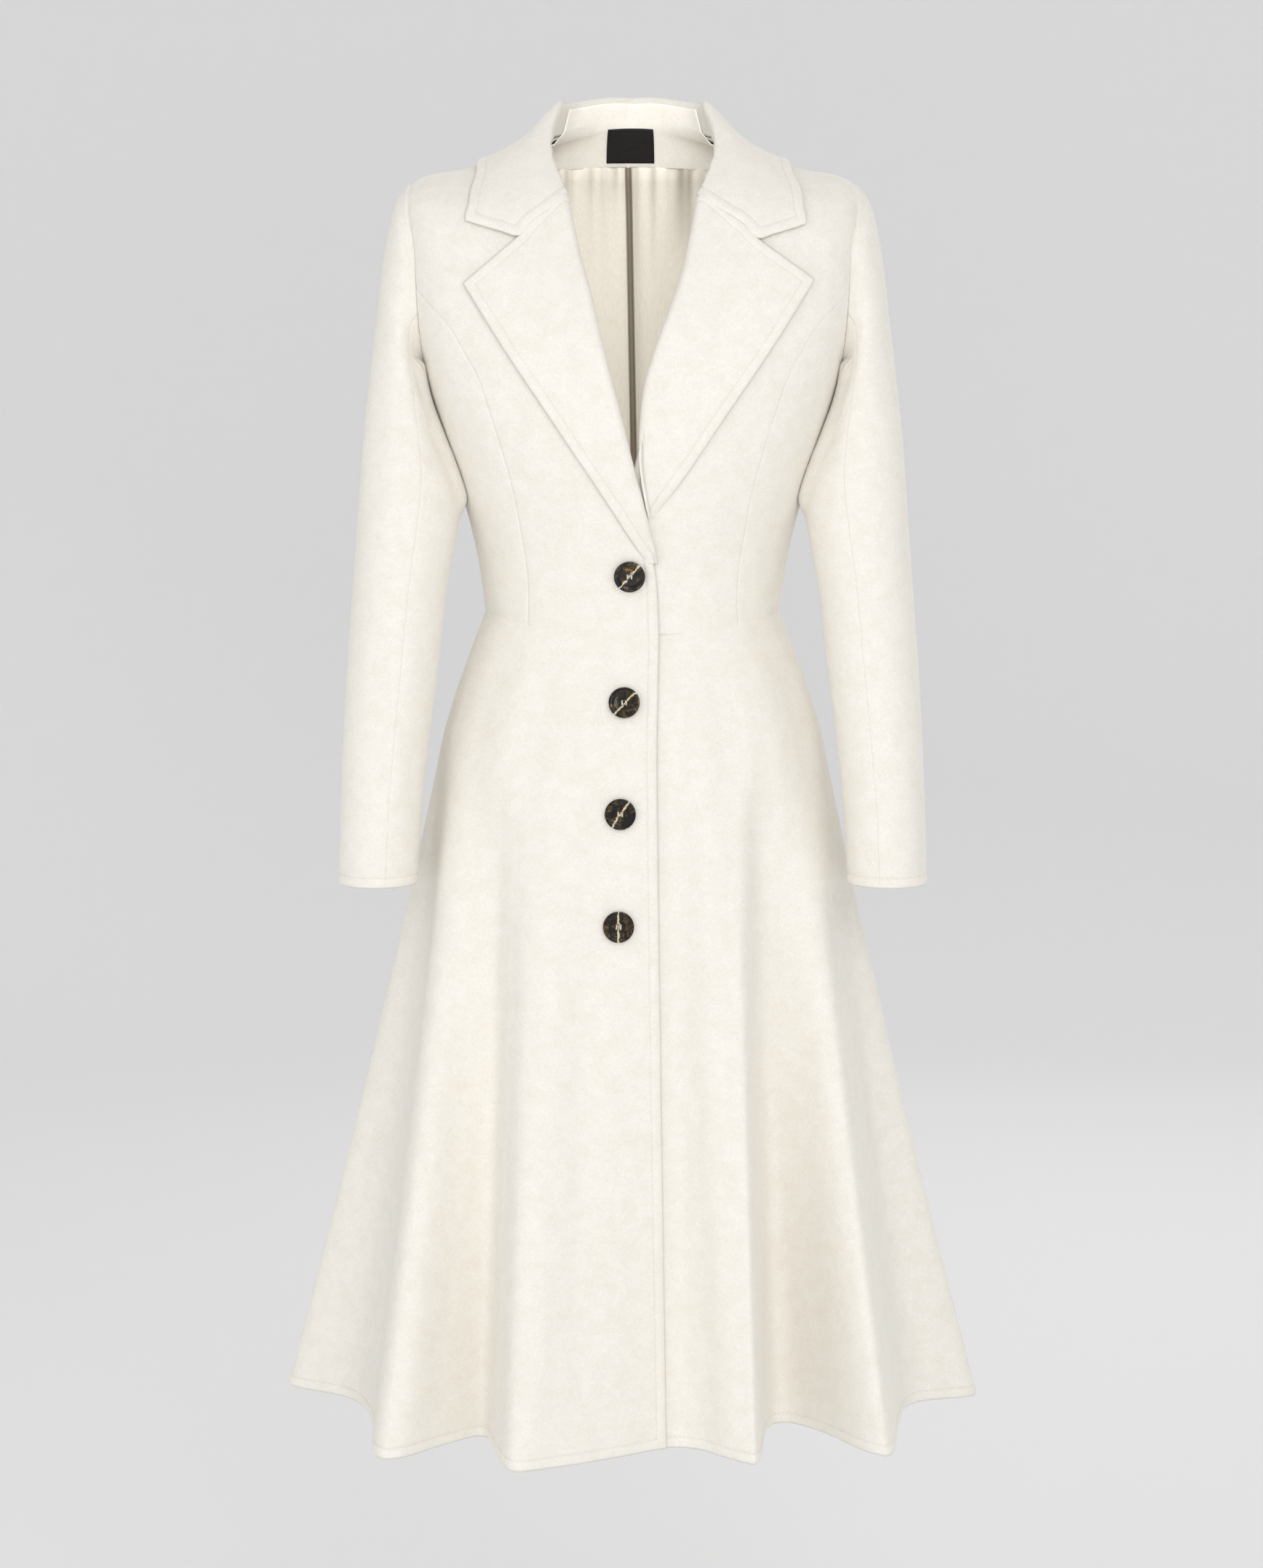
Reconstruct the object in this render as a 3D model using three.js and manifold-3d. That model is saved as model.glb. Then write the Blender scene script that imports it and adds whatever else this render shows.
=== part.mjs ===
// A women's wool coat, filled out as worn with no wearer: fitted bodice, fluted skirt, two-piece
// sleeves, notched collar and four buttons. Millimetres, +Z up. The front faces -Y and +X is the
// viewer's right. The origin is level with the side neck points, midway between the shoulders.
import * as THREE from "three";
import { mergeVertices } from "three/addons/utils/BufferGeometryUtils.js";
import Module from "manifold-3d";

const wasm = await Module();
wasm.setup();

// Cloth
const WALL = 2.5;
const THIN_WALL = 1.2;
const HALF_SEAM = 0.2;
const LAYER_GAP = 0.5;
const QUARTER = Math.PI / 2;

// Bodice rings from the waist up to the neck: half width, depth to the front and to the back of
// their middle, heights at the side, front and back, and how square the ring is.
const BODICE = [
  { width: 126, front: 92, back: 78, middle: 0, sideZ: -401, frontZ: -417, backZ: -395, square: 2.15 },
  { width: 133, front: 100, back: 85, middle: 0, sideZ: -352, frontZ: -364, backZ: -348, square: 2.2 },
  { width: 146, front: 116, back: 95, middle: 0, sideZ: -300, frontZ: -308, backZ: -296, square: 2.35 },
  { width: 162, front: 127, back: 103, middle: 0, sideZ: -250, frontZ: -256, backZ: -246, square: 2.5 },
  { width: 176, front: 126, back: 108, middle: 0, sideZ: -202, frontZ: -210, backZ: -198, square: 2.7 },
  { width: 186, front: 120, back: 109, middle: 0, sideZ: -152, frontZ: -168, backZ: -148, square: 3.1 },
  { width: 190, front: 108, back: 104, middle: 2, sideZ: -95, frontZ: -130, backZ: -98, square: 3.5 },
  { width: 187, front: 92, back: 92, middle: 3, sideZ: -40, frontZ: -96, backZ: -48, square: 3.3 },
  { width: 132, front: 80, back: 76, middle: 5, sideZ: -24, frontZ: -66, backZ: -12, square: 2.6 },
  { width: 69, front: 62, back: 60, middle: 8, sideZ: 0, frontZ: -36, backZ: 17, square: 2.1 },
];
const SHOULDER_RISE = 7 / 9;
const UNDERARM_RISE = 0.44;

// The armhole is an oval on the bodice, seen from the side.
const ARMHOLE = { middleY: 2, middleZ: -127.5, halfDepth: 64, halfHeight: 87.5 };

// Seam lines on the bodice: place across and height.
const PRINCESS_FRONT = [
  { x: 88.5, z: -411 },
  { x: 88, z: -371 },
  { x: 92.5, z: -336 },
  { x: 98.5, z: -301 },
  { x: 110.5, z: -256 },
  { x: 126.5, z: -208 },
  { x: 138.5, z: -183.5 },
  { x: 156.5, z: -155 },
];
const PRINCESS_BACK = [
  { x: 58, z: -397 },
  { x: 62, z: -350 },
  { x: 72, z: -300 },
  { x: 88, z: -250 },
  { x: 110, z: -205 },
  { x: 142, z: -165 },
];
const EDGE_RIGHT = [
  { x: 21.4, z: -416 },
  { x: 20.4, z: -390 },
  { x: 17.6, z: -360 },
  { x: 10.6, z: -326 },
  { x: 3.6, z: -298 },
  { x: -3, z: -277 },
  { x: -16.5, z: -227 },
  { x: -29.6, z: -180 },
  { x: -40.8, z: -134 },
  { x: -51.5, z: -97 },
  { x: -60.5, z: -56 },
];
const EDGE_LEFT = [
  { x: -28, z: -415 },
  { x: -28, z: -385 },
  { x: -24, z: -345 },
  { x: -12, z: -310 },
  { x: 2, z: -277 },
  { x: 14, z: -216 },
  { x: 23.8, z: -180 },
  { x: 36.3, z: -145 },
  { x: 48.6, z: -110 },
  { x: 55.5, z: -85 },
  { x: 61, z: -56 },
];

// Lapels as seen from the front: their roll line from the break up, their outer edge, and the
// gorge line from the roll to the notch and the tip.
const LAPEL_RIGHT = {
  roll: [
    { x: 16.9, z: -356 },
    { x: 9.6, z: -326 },
    { x: 2.9, z: -298 },
    { x: -2.8, z: -277 },
    { x: -15.2, z: -227 },
    { x: -27.6, z: -180 },
    { x: -38.3, z: -134 },
    { x: -48.3, z: -97 },
    { x: -57.4, z: -54 },
  ],
  edge: [
    { x: 11.5, z: -356 },
    { x: -17, z: -310 },
    { x: -48, z: -263 },
    { x: -79, z: -217 },
    { x: -109, z: -172 },
    { x: -138, z: -126 },
  ],
  notch: { x: -94, z: -88 },
  tip: { x: -138, z: -126 },
  freeFrom: -500,
};
const LAPEL_LEFT = {
  roll: [
    { x: 17.4, z: -318 },
    { x: 14.4, z: -304 },
    { x: 11, z: -284 },
    { x: 9.5, z: -262 },
    { x: 12.3, z: -216 },
    { x: 22, z: -180 },
    { x: 34.5, z: -145 },
    { x: 46, z: -110 },
    { x: 58, z: -54 },
  ],
  edge: [
    { x: 19.5, z: -317 },
    { x: 45, z: -279 },
    { x: 71, z: -240 },
    { x: 97, z: -202 },
    { x: 123, z: -163 },
    { x: 148, z: -123 },
  ],
  notch: { x: 103, z: -90 },
  tip: { x: 148, z: -123 },
  freeFrom: -262,
};
const ROLL_PROUD = 3.6;
const ROLL_LIFT = 2.6;
const ROLL_LENGTH = 25;
const BEND_FROM = 0.55;
const LAPEL_LIFT = WALL + 1.3;
const COLLAR_LIFT = WALL + 2.1;

// Collar: its front edge as seen from the front, tip first, then its outer edge over the shoulder
// to the back as places on the bodice. The stand is this high above the neck seam.
const COLLAR_FRONT = {
  right: [
    { x: -137.5, z: -74 },
    { x: -135, z: -59 },
    { x: -132.4, z: -43 },
    { x: -130, z: -31 },
  ],
  left: [
    { x: 142, z: -77 },
    { x: 140.5, z: -60 },
    { x: 137.5, z: -43 },
    { x: 132.5, z: -31 },
  ],
};
const COLLAR_BACK = [
  { turn: 90, rise: 0.895 },
  { turn: 112, rise: 0.9 },
  { turn: 135, rise: 0.893 },
  { turn: 158, rise: 0.885 },
  { turn: 180, rise: 0.88 },
];
const STAND = { side: 29, back: 18, inside: 3, lean: 7, fallPower: 3 };
const NOTCH_GAP = 1.2;

// Where the neck edge turns the corner in front of the side neck point, as a share of a quarter
// turn and a rise.
const NECK_CORNER = { turn: 0.82, rise: 0.992 };

// Sleeve sections from the armhole to the cuff: outer and inner edge, middle and half depth.
const SLEEVE = [
  { outerX: 187, outerZ: -40, innerX: 173, innerZ: -215, middleY: 2, halfDepth: 64 },
  { outerX: 199, outerZ: -52, innerX: 175, innerZ: -219, middleY: -1, halfDepth: 64 },
  { outerX: 206, outerZ: -74, innerX: 174, innerZ: -226, middleY: -5, halfDepth: 62 },
  { outerX: 212, outerZ: -110, innerX: 169, innerZ: -238, middleY: -11, halfDepth: 60 },
  { outerX: 217, outerZ: -155, innerX: 161, innerZ: -254, middleY: -19, halfDepth: 57 },
  { outerX: 222, outerZ: -200, innerX: 151, innerZ: -278, middleY: -28, halfDepth: 54 },
  { outerX: 227, outerZ: -250, innerX: 145, innerZ: -306, middleY: -38, halfDepth: 51 },
  { outerX: 231, outerZ: -305, innerX: 149, innerZ: -338, middleY: -46, halfDepth: 49 },
  { outerX: 235, outerZ: -365, innerX: 157, innerZ: -380, middleY: -53, halfDepth: 47 },
  { outerX: 240, outerZ: -430, innerX: 163, innerZ: -434, middleY: -58, halfDepth: 45 },
  { outerX: 244, outerZ: -498, innerX: 171, innerZ: -498, middleY: -62, halfDepth: 43 },
  { outerX: 247, outerZ: -563, innerX: 178, innerZ: -563, middleY: -65, halfDepth: 41 },
  { outerX: 249, outerZ: -627, innerX: 182, innerZ: -627, middleY: -66, halfDepth: 40 },
];
const SLEEVE_CLEAR = 1.5;
const SLEEVE_BESIDE = { high: -190, low: -400 };
const SLEEVE_ROWS = 13;
const SLEEVE_ROW_POWER = 1.15;
const UNDER_SLEEVE = { from: 7, to: 17 };
const ARMHOLE_STEPS = 24;

// Skirt: hip ring, hem height, and one line down the cloth for each crest, slope and valley, with
// its turns at the waist and at the hip.
const HIP = { width: 166, front: 120, back: 130, square: 2.15, share: 0.176 };
const HEM_Z = -1090;
const SKIRT_LINES = [
  { waist: 9.8, hip: 6.8, x: 28, y: -166 },
  { waist: 16, hip: 16, x: 55, y: -171 },
  { waist: 27, hip: 27, x: 90, y: -205 },
  { waist: 32, hip: 32, x: 105, y: -202 },
  { waist: 36, hip: 36, x: 114, y: -112 },
  { waist: 40, hip: 40, x: 130, y: -88 },
  { waist: 47, hip: 47, x: 159, y: -115 },
  { waist: 56, hip: 56, x: 195, y: -176 },
  { waist: 63, hip: 63, x: 217, y: -178 },
  { waist: 69, hip: 69, x: 228, y: -92 },
  { waist: 77, hip: 77, x: 246, y: -26 },
  { waist: 90, hip: 90, x: 302, y: 2 },
  { waist: 103, hip: 103, x: 269, y: 62 },
  { waist: 112, hip: 112, x: 236, y: 92 },
  { waist: 124, hip: 124, x: 219, y: 178 },
  { waist: 136, hip: 136, x: 168, y: 176 },
  { waist: 150, hip: 150, x: 117, y: 138 },
  { waist: 162, hip: 162, x: 82, y: 218 },
  { waist: 172, hip: 172, x: 35, y: 228 },
  { waist: 181, hip: 181, x: -2, y: 186 },
  { waist: 190, hip: 190, x: -41, y: 222 },
  { waist: 199, hip: 199, x: -88, y: 230 },
  { waist: 210, hip: 210, x: -123, y: 148 },
  { waist: 223, hip: 223, x: -172, y: 186 },
  { waist: 235, hip: 235, x: -221, y: 186 },
  { waist: 247, hip: 247, x: -238, y: 104 },
  { waist: 257, hip: 257, x: -275, y: 76 },
  { waist: 270, hip: 270, x: -305, y: 34 },
  { waist: 283, hip: 283, x: -246, y: -14 },
  { waist: 291, hip: 291, x: -223, y: -90 },
  { waist: 297, hip: 297, x: -215, y: -182 },
  { waist: 304, hip: 304, x: -191, y: -192 },
  { waist: 312, hip: 312, x: -156, y: -153 },
  { waist: 320, hip: 320, x: -126, y: -130 },
  { waist: 325, hip: 325, x: -113, y: -186 },
  { waist: 331, hip: 331, x: -99, y: -230 },
  { waist: 340, hip: 340, x: -64, y: -220 },
  { waist: 352, hip: 352, x: -14, y: -192 },
];
const LINE_STEPS = 2;
const SKIRT_ROWS = 12;
const SKIRT_ROW_POWER = 1.35;
const FLARE = { fromWaist: 1.15, atHip: 0.86, atHem: 1.08 };
const UNDERLAP_LINES = 1.6;

// The under front steps in below the top front, by one wall and a gap: fully up to a place across
// on the bodice or a line of the skirt, and no more past another.
const UNDER_STEP = { full: 26, none: 54, depth: WALL + 1 };
const UNDER_STEP_SKIRT = { full: 0.35, none: 1.85 };

// Buttons: centres on the top front, from the neck down.
const BUTTON = { radius: 13, thick: 4, round: 1.2, rim: 2.4, slope: 2, dish: 1.3, sides: 22 };
const BUTTON_HOLE = { radius: 1.1, out: 2.4, sides: 6, count: 4 };
const BUTTONS = [
  { x: -2.6, z: -366.3, part: "bodice", lift: 1.3 },
  { x: -7, z: -471.7, part: "skirt", lift: 0.5 },
  { x: -10.3, z: -563, part: "skirt", lift: 0.5 },
  { x: -12, z: -656, part: "skirt", lift: 0.5 },
];

// Layers that show inside the back neck: rises on the bodice, half turn and thickness, and how far
// inside the back's outer face each has its own outer face.
const FACING = { low: 0.864, high: 0.995, halfTurn: 0.96, thick: THIN_WALL, depth: WALL + 2.3 };
const LINING = { low: 0.01, high: 0.861, halfTurn: 0.98, thick: THIN_WALL, depth: WALL + 3.8 };
const LABEL = { low: 0.877, high: 0.994, x: -2, width: 42, thick: 0.8, depth: WALL + THIN_WALL + 2.8 };

const WOOL = { color: 0xefebe4, roughness: 0.95 };
const SATIN = { color: 0xf1ece2, roughness: 0.4 };
const LABEL_CLOTH = { color: 0x111113, roughness: 0.7 };
const TORTOISESHELL = { color: 0x2a1a10, roughness: 0.15 };

const clamp = (value, low = 0, high = 1) => Math.min(Math.max(value, low), high);
const mix = (a, b, share) => a + (b - a) * share;
const smooth = (low, high, value) => THREE.MathUtils.smoothstep(value, low, high);
const radians = THREE.MathUtils.degToRad;

// Smooth value through a column of numbers, at a share of its length.
function along(values, share) {
  const last = values.length - 1;
  const place = clamp(share) * last;
  const i = Math.min(Math.floor(place), last - 1);
  const [before, after] = [values[Math.max(i - 1, 0)], values[Math.min(i + 2, last)]];
  return cubic(before, values[i], values[i + 1], after, place - i);
}

// Catmull-Rom curve between b and c.
function cubic(a, b, c, d, f) {
  return b + 0.5 * f * (c - a + f * (2 * a - 5 * b + 4 * c - d + f * (3 * (b - c) + d - a)));
}

// The columns of a table, each as an array.
function columns(rows) {
  return Object.fromEntries(Object.keys(rows[0]).map((name) => [name, rows.map((row) => row[name])]));
}

const bodiceColumns = columns(BODICE);
const sleeveColumns = columns(SLEEVE);

// Distance of a squared oval from its middle, as a share of its half sizes.
function reachAt(turn, square) {
  return Math.pow(Math.abs(Math.sin(turn)) ** square + Math.abs(Math.cos(turn)) ** square, -1 / square);
}

// Point of the bodice: turn is 0 at the front and a quarter at the viewer's right; rise is 0 at
// the waist and 1 at the neck.
function bodicePoint(turn, rise) {
  const at = (name) => along(bodiceColumns[name], rise);
  const reach = reachAt(turn, at("square"));
  const ahead = Math.cos(turn);
  const depth = ahead > 0 ? at("front") : at("back");
  const farZ = ahead > 0 ? at("frontZ") : at("backZ");
  const x = at("width") * reach * Math.sin(turn);
  const y = at("middle") - depth * reach * ahead;
  return new THREE.Vector3(x, y, mix(at("sideZ"), farZ, ahead * ahead));
}

// Outward direction of a surface of two parameters; sign turns it round.
function outwardAt(surface, u, v, sign = 1) {
  const step = 1e-3;
  const across = surface(u + step, v).sub(surface(u - step, v));
  const down = surface(u, Math.min(v + step, 1)).sub(surface(u, Math.max(v - step, 0)));
  return across.cross(down).normalize().multiplyScalar(sign);
}

const bodiceOut = (turn, rise) => outwardAt(bodicePoint, turn, rise);

// Bodice parameters of the point with the wanted height and place along one axis.
function placeOnBodice(axis, wanted, height, start) {
  const step = 1e-4;
  const most = 0.08;
  let [turn, rise] = start;
  for (let pass = 0; pass < 80; pass += 1) {
    const here = bodicePoint(turn, rise);
    const byTurn = bodicePoint(turn + step, rise).sub(here).divideScalar(step);
    const byRise = bodicePoint(turn, rise - step).sub(here).divideScalar(-step);
    const missing = wanted - here[axis];
    const missingZ = height - here.z;
    const scale = byTurn[axis] * byRise.z - byTurn.z * byRise[axis];
    turn += clamp((missing * byRise.z - missingZ * byRise[axis]) / scale, -most, most);
    rise = clamp(rise + clamp((missingZ * byTurn[axis] - missing * byTurn.z) / scale, -most, most), step, 1);
  }
  return [turn, rise];
}

// Bodice parameters of a point seen from the front or the back.
function placeSeen({ x, z }, back = false) {
  const turn = Math.asin(clamp(x / Math.max(...bodiceColumns.width), -0.95, 0.95));
  const rise = clamp(1 - z / BODICE[0].sideZ, 0.02, 0.98);
  return placeOnBodice("x", x, z, [back ? Math.PI - turn : turn, rise]);
}

// Bodice parameters of the armhole at an angle from the shoulder, forwards.
function armholePlace(side, angle) {
  const y = ARMHOLE.middleY - ARMHOLE.halfDepth * Math.sin(angle);
  const z = ARMHOLE.middleZ + ARMHOLE.halfHeight * Math.cos(angle);
  if (Math.abs(Math.sin(angle)) < 1e-9 && Math.cos(angle) > 0) return [side * QUARTER, SHOULDER_RISE];
  const rise = mix(SHOULDER_RISE, UNDERARM_RISE, 0.5 * (1 - Math.cos(angle)));
  return placeOnBodice("y", y, z, [side * (QUARTER - 0.5 * Math.sin(angle)), rise]);
}

// Smooth line through bodice parameters, as a function of a share of its length.
function lineOf(places) {
  const turns = places.map(([turn]) => turn);
  const rises = places.map(([, rise]) => rise);
  return (share) => [along(turns, share), along(rises, share)];
}

// Several lines end to end, each over its own share of the steps.
function chained(parts) {
  const total = parts.reduce((sum, part) => sum + part.steps, 0);
  return (share) => {
    let place = clamp(share) * total;
    for (const part of parts) {
      if (place <= part.steps + 1e-9) return part.line(place / part.steps);
      place -= part.steps;
    }
    return parts[parts.length - 1].line(1);
  };
}

// Patch between four lines, in the parameters of a surface.
function patch({ bottom, top, left, right }) {
  const corners = [bottom(0), bottom(1), top(0), top(1)];
  return (s, t) =>
    [0, 1].map((k) => {
      const sides = mix(left(t)[k], right(t)[k], s) + mix(bottom(s)[k], top(s)[k], t);
      return sides - mix(mix(corners[0][k], corners[1][k], s), mix(corners[2][k], corners[3][k], s), t);
    });
}

const straight = (from, to) => (share) => [mix(from[0], to[0], share), mix(from[1], to[1], share)];

// Grid of points and outward directions over a patch of a surface.
function gridOf(surface, out, region, rowCount, columnCount) {
  const points = [];
  const outs = [];
  for (let i = 0; i <= rowCount; i += 1) {
    const places = Array.from({ length: columnCount + 1 }, (_, j) => region(j / columnCount, i / rowCount));
    points.push(places.map(([u, v]) => surface(u, v)));
    outs.push(places.map(([u, v]) => out(u, v)));
  }
  return { points, outs };
}

// Draws the rim of a grid in by half a seam, so that neighbours stay apart.
function drawIn({ points, outs }, by = HALF_SEAM) {
  const moved = points.map((row) => row.map((point) => point.clone()));
  const last = points.length - 1;
  const end = points[0].length - 1;
  const pull = (i, j, k, l) => {
    const towards = points[k][l].clone().sub(points[i][j]).normalize();
    moved[i][j].addScaledVector(towards, by);
  };
  points.forEach((row, i) => {
    pull(i, 0, i, 1);
    pull(i, end, i, end - 1);
  });
  points[0].forEach((_, j) => {
    pull(0, j, 1, j);
    pull(last, j, last - 1, j);
  });
  return { points: moved, outs };
}

// Closed wall whose outer face is the grid and whose thickness goes against the outward directions.
function wallGeometry({ points, outs }, thickness = WALL) {
  const rows = points.length;
  const across = points[0].length;
  const positions = [];
  points.forEach((row) => row.forEach((point) => positions.push(point.x, point.y, point.z)));
  points.forEach((row, i) =>
    row.forEach((point, j) => {
      const inside = point.clone().addScaledVector(outs[i][j], -thickness);
      positions.push(inside.x, inside.y, inside.z);
    }),
  );
  const indices = [];
  const behind = rows * across;
  const quad = (a, b, c, d) => indices.push(a, b, c, a, c, d);
  for (let i = 0; i < rows - 1; i += 1) {
    for (let j = 0; j < across - 1; j += 1) {
      const a = i * across + j;
      const corners = [a, a + 1, a + across + 1, a + across];
      const falling = points[i][j].distanceTo(points[i + 1][j + 1]);
      const rising = points[i][j + 1].distanceTo(points[i + 1][j]);
      if (rising < falling) corners.push(corners.shift());
      quad(...corners);
      quad(...[0, 3, 2, 1].map((k) => behind + corners[k]));
    }
  }
  for (let j = 0; j < across - 1; j += 1) {
    const high = (rows - 1) * across + j;
    quad(j, behind + j, behind + j + 1, j + 1);
    quad(high, high + 1, behind + high + 1, behind + high);
  }
  for (let i = 0; i < rows - 1; i += 1) {
    const near = i * across;
    const far = near + across - 1;
    quad(near, near + across, behind + near + across, behind + near);
    quad(far, behind + far, behind + far + across, far + across);
  }
  return closedGeometry(positions, indices);
}

// Geometry from points and triangles, turned so that its faces point out.
function closedGeometry(positions, indices) {
  let volume = 0;
  const corner = (i) => new THREE.Vector3().fromArray(positions, 3 * indices[i]);
  for (let i = 0; i < indices.length; i += 3) {
    volume += corner(i).dot(corner(i + 1).cross(corner(i + 2)));
  }
  if (volume < 0) indices.reverse();
  const geometry = new THREE.BufferGeometry();
  geometry.setAttribute("position", new THREE.Float32BufferAttribute(positions, 3));
  geometry.setIndex(indices);
  geometry.computeVertexNormals();
  return geometry;
}

const coat = new THREE.Group();
coat.name = "coat";

// Adds one named piece in its own material.
function addPiece(name, geometry, finish) {
  const mesh = new THREE.Mesh(geometry, new THREE.MeshStandardMaterial({ ...finish, metalness: 0 }));
  mesh.name = name;
  coat.add(mesh);
  return mesh;
}

// Outward direction shared by bodice and sleeve over the upper armhole, so that their walls meet
// in a mitre there.
function armholeOut(side, angle) {
  const [turn, rise] = armholePlace(side, angle);
  const own = bodiceOut(turn, rise);
  const share = 0.5 * smooth(-0.1, 0.4, Math.cos(angle));
  return own.lerp(sleeveOutPlain(side, angle, 0), share).normalize();
}

// Point of the under front, which steps in below the top front.
function underBodicePoint(turn, rise) {
  const point = bodicePoint(turn, rise);
  const share = 1 - smooth(UNDER_STEP.full, UNDER_STEP.none, point.x);
  return share > 0 ? point.addScaledVector(bodiceOut(turn, rise), -UNDER_STEP.depth * share) : point;
}

const PRINCESS_STEPS = 9;
const SHOULDER_STEPS = 6;
const TOP_STEPS = 5;

// Seam lines of one side, as functions on the bodice.
function seamsOf(side) {
  const front = PRINCESS_FRONT.map((row) => placeSeen({ x: side * row.x, z: row.z }));
  front[0][1] = 0;
  front.push(armholePlace(side, QUARTER));
  const back = PRINCESS_BACK.map((row) => placeSeen({ x: side * row.x, z: row.z }, true));
  if (side < 0) back.forEach((place) => (place[0] -= 2 * Math.PI));
  back[0][1] = 0;
  back.push(armholePlace(side, 3 * QUARTER));
  return { front: lineOf(front), back: lineOf(back) };
}

// Share of a rising line on the bodice at which it reaches a height.
function shareAtHeight(line, height) {
  let low = 0;
  let high = 1;
  for (let pass = 0; pass < 40; pass += 1) {
    const middle = 0.5 * (low + high);
    if (bodicePoint(...line(middle)).z < height) low = middle;
    else high = middle;
  }
  return low;
}

// Front panel of one side, between its edge and its princess seam.
function frontPanel(side, edgeRows, surface) {
  const edgePlaces = edgeRows.map((row) => placeSeen(row));
  edgePlaces[0][1] = 0;
  edgePlaces.push([side * QUARTER * NECK_CORNER.turn, NECK_CORNER.rise], [side * QUARTER, 1]);
  const wholeEdge = lineOf(edgePlaces);
  const level = shareAtHeight(wholeEdge, ARMHOLE.middleZ);
  const edge = chained([
    { line: (share) => wholeEdge(share * level), steps: PRINCESS_STEPS },
    { line: (share) => wholeEdge(mix(level, 1, share)), steps: SHOULDER_STEPS },
  ]);
  const seam = chained([
    { line: seamsOf(side).front, steps: PRINCESS_STEPS },
    { line: (share) => armholePlace(side, QUARTER * (1 - share)), steps: SHOULDER_STEPS },
  ]);
  const region = patch({
    bottom: straight(edge(0), seam(0)),
    top: straight([side * QUARTER, 1], [side * QUARTER, SHOULDER_RISE]),
    left: edge,
    right: seam,
  });
  const grid = gridOf(surface, bodiceOut, region, PRINCESS_STEPS + SHOULDER_STEPS, TOP_STEPS);
  for (let i = 0; i <= SHOULDER_STEPS; i += 1) {
    const angle = QUARTER * (1 - i / SHOULDER_STEPS);
    grid.outs[PRINCESS_STEPS + i][TOP_STEPS] = armholeOut(side, angle);
  }
  return wallGeometry(drawIn(grid));
}

// Side panel between a princess seam and the side seam; ahead is 1 in front and -1 behind.
function sidePanel(side, ahead) {
  const seam = ahead > 0 ? seamsOf(side).front : seamsOf(side).back;
  const low = armholePlace(side, Math.PI);
  const sideSeam = straight([side * QUARTER, 0], low);
  const region = patch({
    bottom: straight(sideSeam(0), seam(0)),
    top: (share) => armholePlace(side, Math.PI - ahead * QUARTER * share),
    left: sideSeam,
    right: seam,
  });
  return wallGeometry(drawIn(gridOf(bodicePoint, bodiceOut, region, PRINCESS_STEPS, SHOULDER_STEPS)));
}

// Centre back panel, from princess seam to princess seam and up to both shoulders.
function backPanel() {
  const neckSteps = 8;
  const right = chained([
    { line: seamsOf(1).back, steps: PRINCESS_STEPS },
    { line: (share) => armholePlace(1, QUARTER * (3 + share)), steps: SHOULDER_STEPS },
  ]);
  const mirrored = ([turn, rise]) => [2 * Math.PI - turn, rise];
  const left = (share) => mirrored(right(share));
  const shoulder = straight([QUARTER, SHOULDER_RISE], [QUARTER, 1]);
  const top = chained([
    { line: shoulder, steps: TOP_STEPS },
    { line: straight([QUARTER, 1], [3 * QUARTER, 1]), steps: neckSteps },
    { line: (share) => mirrored(shoulder(1 - share)), steps: TOP_STEPS },
  ]);
  const region = patch({ bottom: straight(right(0), left(0)), top, left: right, right: left });
  const across = 2 * TOP_STEPS + neckSteps;
  const grid = gridOf(bodicePoint, bodiceOut, region, PRINCESS_STEPS + SHOULDER_STEPS, across);
  for (let i = 0; i <= SHOULDER_STEPS; i += 1) {
    const angle = QUARTER * (3 + i / SHOULDER_STEPS);
    grid.outs[PRINCESS_STEPS + i][0] = armholeOut(1, angle);
    grid.outs[PRINCESS_STEPS + i][across] = armholeOut(-1, angle);
  }
  return wallGeometry(drawIn(grid));
}

// Bodice width at a height and depth, level with the underarm and below.
function bodiceSideAt(y, z) {
  const heights = bodiceColumns.sideZ;
  let i = 0;
  while (i < heights.length - 2 && heights[i + 1] < z) i += 1;
  const rise = (i + clamp((z - heights[i]) / (heights[i + 1] - heights[i]))) / (heights.length - 1);
  const at = (name) => along(bodiceColumns[name], rise);
  const share = clamp(Math.abs(y) / (y < 0 ? at("front") : at("back")), 0, 0.99);
  return at("width") * Math.pow(1 - share ** at("square"), 1 / at("square"));
}

// Point of a sleeve before it is fitted to the armhole and the bodice's side.
function sleeveOval(side, angle, down) {
  const at = (name) => along(sleeveColumns[name], down);
  const outer = new THREE.Vector3(side * at("outerX"), at("middleY"), at("outerZ"));
  const inner = new THREE.Vector3(side * at("innerX"), at("middleY"), at("innerZ"));
  const point = outer.lerp(inner, 0.5 * (1 - Math.cos(angle)));
  point.y -= at("halfDepth") * Math.sin(angle);
  return point;
}

// Point of a sleeve: angle is 0 at the outer edge and a quarter at the front; down is 0 at the
// armhole and 1 at the cuff.
function sleevePoint(side, angle, down) {
  const point = sleeveOval(side, angle, down);
  const fit = Math.max(0, 1 - (down * (SLEEVE.length - 1)) / 2) ** 2;
  if (fit > 0) {
    const seam = bodicePoint(...armholePlace(side, angle));
    point.add(seam.sub(sleeveOval(side, angle, 0)).multiplyScalar(fit));
  }
  const least = bodiceSideAt(point.y, point.z) + SLEEVE_CLEAR * smooth(0, 0.04, down);
  const beside = point.z < SLEEVE_BESIDE.high && point.z > SLEEVE_BESIDE.low;
  if (beside) point.x = side * Math.max(side * point.x, least);
  return point;
}

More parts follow.
